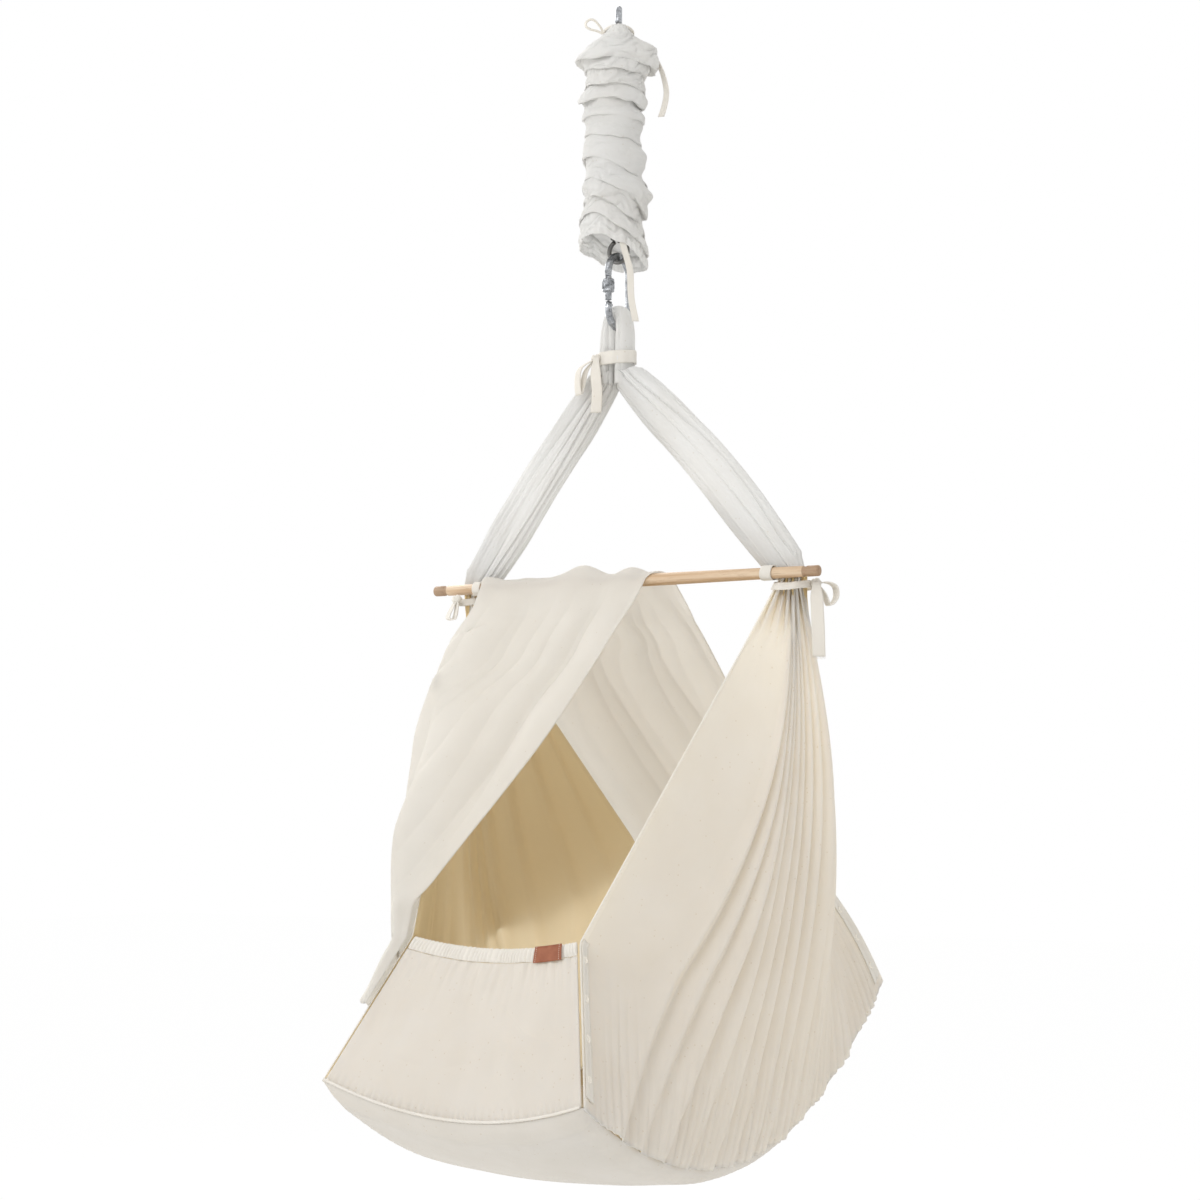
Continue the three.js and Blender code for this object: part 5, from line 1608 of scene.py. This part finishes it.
cotton_pad = woven("cotton_pad", "F0EBE1", "E5DED0", crumple=0.8)
pad = piece("thin_mattress", mattress_mesh, [cotton_pad], None, ["mattress"])
filled(pad, voxel=0.007, pressure=4, limit=mattress_swell)
for face in pad.data.polygons:
    face.use_smooth = True
for vertex in pad.data.vertices:
    x, y = vertex.co.x, vertex.co.y
    if vertex.co.z > seam_z(x, y):
        quilt = abs(math.sin(math.pi * (x / quilt_across)))
        quilt *= abs(math.sin(math.pi * (y / quilt_along + 0.5)))
        vertex.co.z += quilt_depth * quilt ** 0.5 - quilt_depth
    vertex.co.z = max(vertex.co.z + 0.0008 * stray(20 * x, 20 * y), base_floor(x, y) + 0.0024)
pad.data.materials.clear()
pad.data.materials.append(cotton_pad)
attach(pad, "cradle")


# Veil: one thin muslin sheet laid over the bar. Its front flap hangs across the opening and lies
# round the left wing's outside, its back flap hangs behind; a narrow hem runs all round.
veil_thickness = 0.0011
veil_bar_radius = 0.0103
veil_left_x = -0.225
veil_front_x = 0.050
veil_back_x = 0.082
veil_front_drop = 0.428
veil_back_drop = 0.371
veil_stand_off = 0.016
veil_bulge = 0.026
veil_loose_shares = [0.35, 0.3, 0.25, 0.4, 0.6, 0.75, 0.7, 0.2, -0.12]
veil_front = {"end": -1, "edge": 0, "reach": 0.84, "slope": 0.6}
veil_back = {"end": 1, "edge": 1, "reach": 0.66, "slope": 1.9}
over_bar_share = 0.024
over_bar_rows = 0.055
veil_cut = (1.05, 1.30)
muslin = woven(
    "muslin_cloth", "F4F2EE", "EDEBE6", thread=0.0009, fleck=0.95, crumple=0.35, through=0.50, alpha=0.93
)


def veil_hem(end, drop):
    if end < 0:
        share = max(0, drop / veil_front_drop)
        x = mix(veil_front_x, -panel_top_half, share ** (5 / 3))
        return Vector((x, -veil_bar_radius - (panel_top_y - 0.020) * share, spreader_z - drop))
    share = drop / veil_back_drop
    return Vector((veil_back_x + 0.040 * share, veil_bar_radius + panel_top_y * share, spreader_z - drop))


def veil_row(flap, share):
    end, edge_u = flap["end"], flap["edge"]
    down_share = (share - over_bar_share) / (1 - over_bar_share)
    reach = max(0, down_share) * flap["reach"]
    wrap = 0.48 * smooth((share - 0.12) * 4)
    loose = veil_stand_off + veil_bulge * share_at(veil_loose_shares, down_share)

    def surface(u, v):
        return plain_wing(-1, u, v)

    def outside(u):
        near_u = min(0.995, max(0.005, u))
        normal = surface_normal(surface, near_u, min(0.96, max(0.02, reach)))
        if normal.x > 0:
            normal.negate()
        return surface(u, reach) + normal * (loose + 0.0055)

    edge = surface(edge_u, reach)
    drop = spreader_z - edge.z
    hem = veil_hem(end, drop)
    corner = edge + Vector((-loose * 2 / 3, end * loose * 2 / 3, 0))
    past = smooth((reach - corner_share + 0.1) * 16) if end < 0 else 0
    hem = hem.lerp(edge + Vector((-0.0045, end * 0.006, 0)), past)
    laid_places = [
        outside(mix(edge_u, 0.5, 2 * wrap)),
        outside(mix(edge_u, 0.5, wrap)),
        outside(edge_u),
        corner,
        corner.lerp(hem, 0.5),
        hem,
    ]
    left = Vector((veil_left_x, end * (veil_bar_radius + flap["slope"] * drop), edge.z))
    free = 1 - smooth((share - 0.07) / 0.11)
    count = len(laid_places) - 1
    line = line_through([p.lerp(left.lerp(hem, i / count), free) for i, p in enumerate(laid_places)])
    spots = [line(i / 60) for i in range(61)]
    run = [0.0]
    for start, stop in zip(spots, spots[1:]):
        run.append(run[-1] + (stop - start).length)
    return spots, run


veil_rows = {}


def veil_plain(u, v):
    flap = veil_front if v < 0.5 else veil_back
    away = min(1, abs(2 * v - 1))
    if away < over_bar_rows:
        share = over_bar_share * away / over_bar_rows
    else:
        share = mix(over_bar_share, 1, (away - over_bar_rows) / (1 - over_bar_rows))
    if share <= over_bar_share:
        over = flap["end"] * (share / over_bar_share) * math.pi / 2
        x = mix(veil_left_x, mix(veil_front_x, veil_back_x, 0.5 + over / math.pi), u)
        return Vector((x, veil_bar_radius * math.sin(over), spreader_z + veil_bar_radius * math.cos(over)))
    key = (flap["end"], round(share, 6))
    if key not in veil_rows:
        veil_rows[key] = veil_row(flap, share)
    spots, run = veil_rows[key]
    target = min(1, max(0, u)) * run[-1]
    low, high = 0, 60
    while high - low > 1:
        middle = (low + high) // 2
        if run[middle] <= target:
            low = middle
        else:
            high = middle
    part = (target - run[low]) / max(1e-9, run[high] - run[low])
    return spots[low].lerp(spots[high], part)


def veil_place(u, v):
    spot = veil_plain(u, v)
    step_u, step_v = 0.006, 0.0025
    across = veil_plain(min(1, u + step_u), v) - veil_plain(max(0, u - step_u), v)
    along = veil_plain(u, min(1, v + step_v)) - veil_plain(u, max(0, v - step_v))
    normal = along.cross(across).normalized()
    away = abs(2 * v - 1)
    if v < 0.5:
        broad = crest(2.7 * u - 0.35 * away + 0.3 * stray(2 * u, 2 * away))
        fine = crest(6.1 * u - 1.1 * away + 0.5 * stray(3 * u, 3 * away) + 0.3)
        folds = 0.0110 * broad + 0.0036 * fine
        folds += 0.0060 * stray(2.6 * u, 3.1 * away)
        folds += 0.0022 * stray(8 * u, 6 * away)
        rest = smooth((away - 0.05) / 0.15) * (1 - 0.93 * smooth((away - 0.60) / 0.2))
    else:
        broad = crest(4.3 * u - 1.5 * away + 0.15 * stray(2 * u, 2 * away + 4))
        fine = crest(9.1 * u - 2.6 * away + 0.3 * stray(3 * u, 3 * away + 4))
        folds = 0.0085 * broad + 0.0026 * fine + 0.0040 * stray(3.2 * u + 5, 1.6 * away)
        rest = smooth((away - 0.05) / 0.2)
    slack = math.exp(-(away / 0.09) ** 2)
    bumps = 0.0150 * math.exp(-((u - 0.57) / 0.085) ** 2) + 0.0065 * math.exp(-((u - 0.85) / 0.06) ** 2)
    bumps += 0.0050 * math.exp(-(u / 0.08) ** 2) + 0.0012 * math.sin(math.tau * 5 * u)
    hem = smooth((u - 0.978) / 0.006) + smooth((away - 0.985) / 0.004)
    return spot - normal * (folds * rest + 0.0006 * hem) + Vector((0, 0, max(0, bumps) * slack))


veil_mesh = laid(150, 260, veil_place, veil_cut)
veil = piece("muslin_veil", veil_mesh, [muslin], "cradle", ["veil"])
thick(veil, veil_thickness)
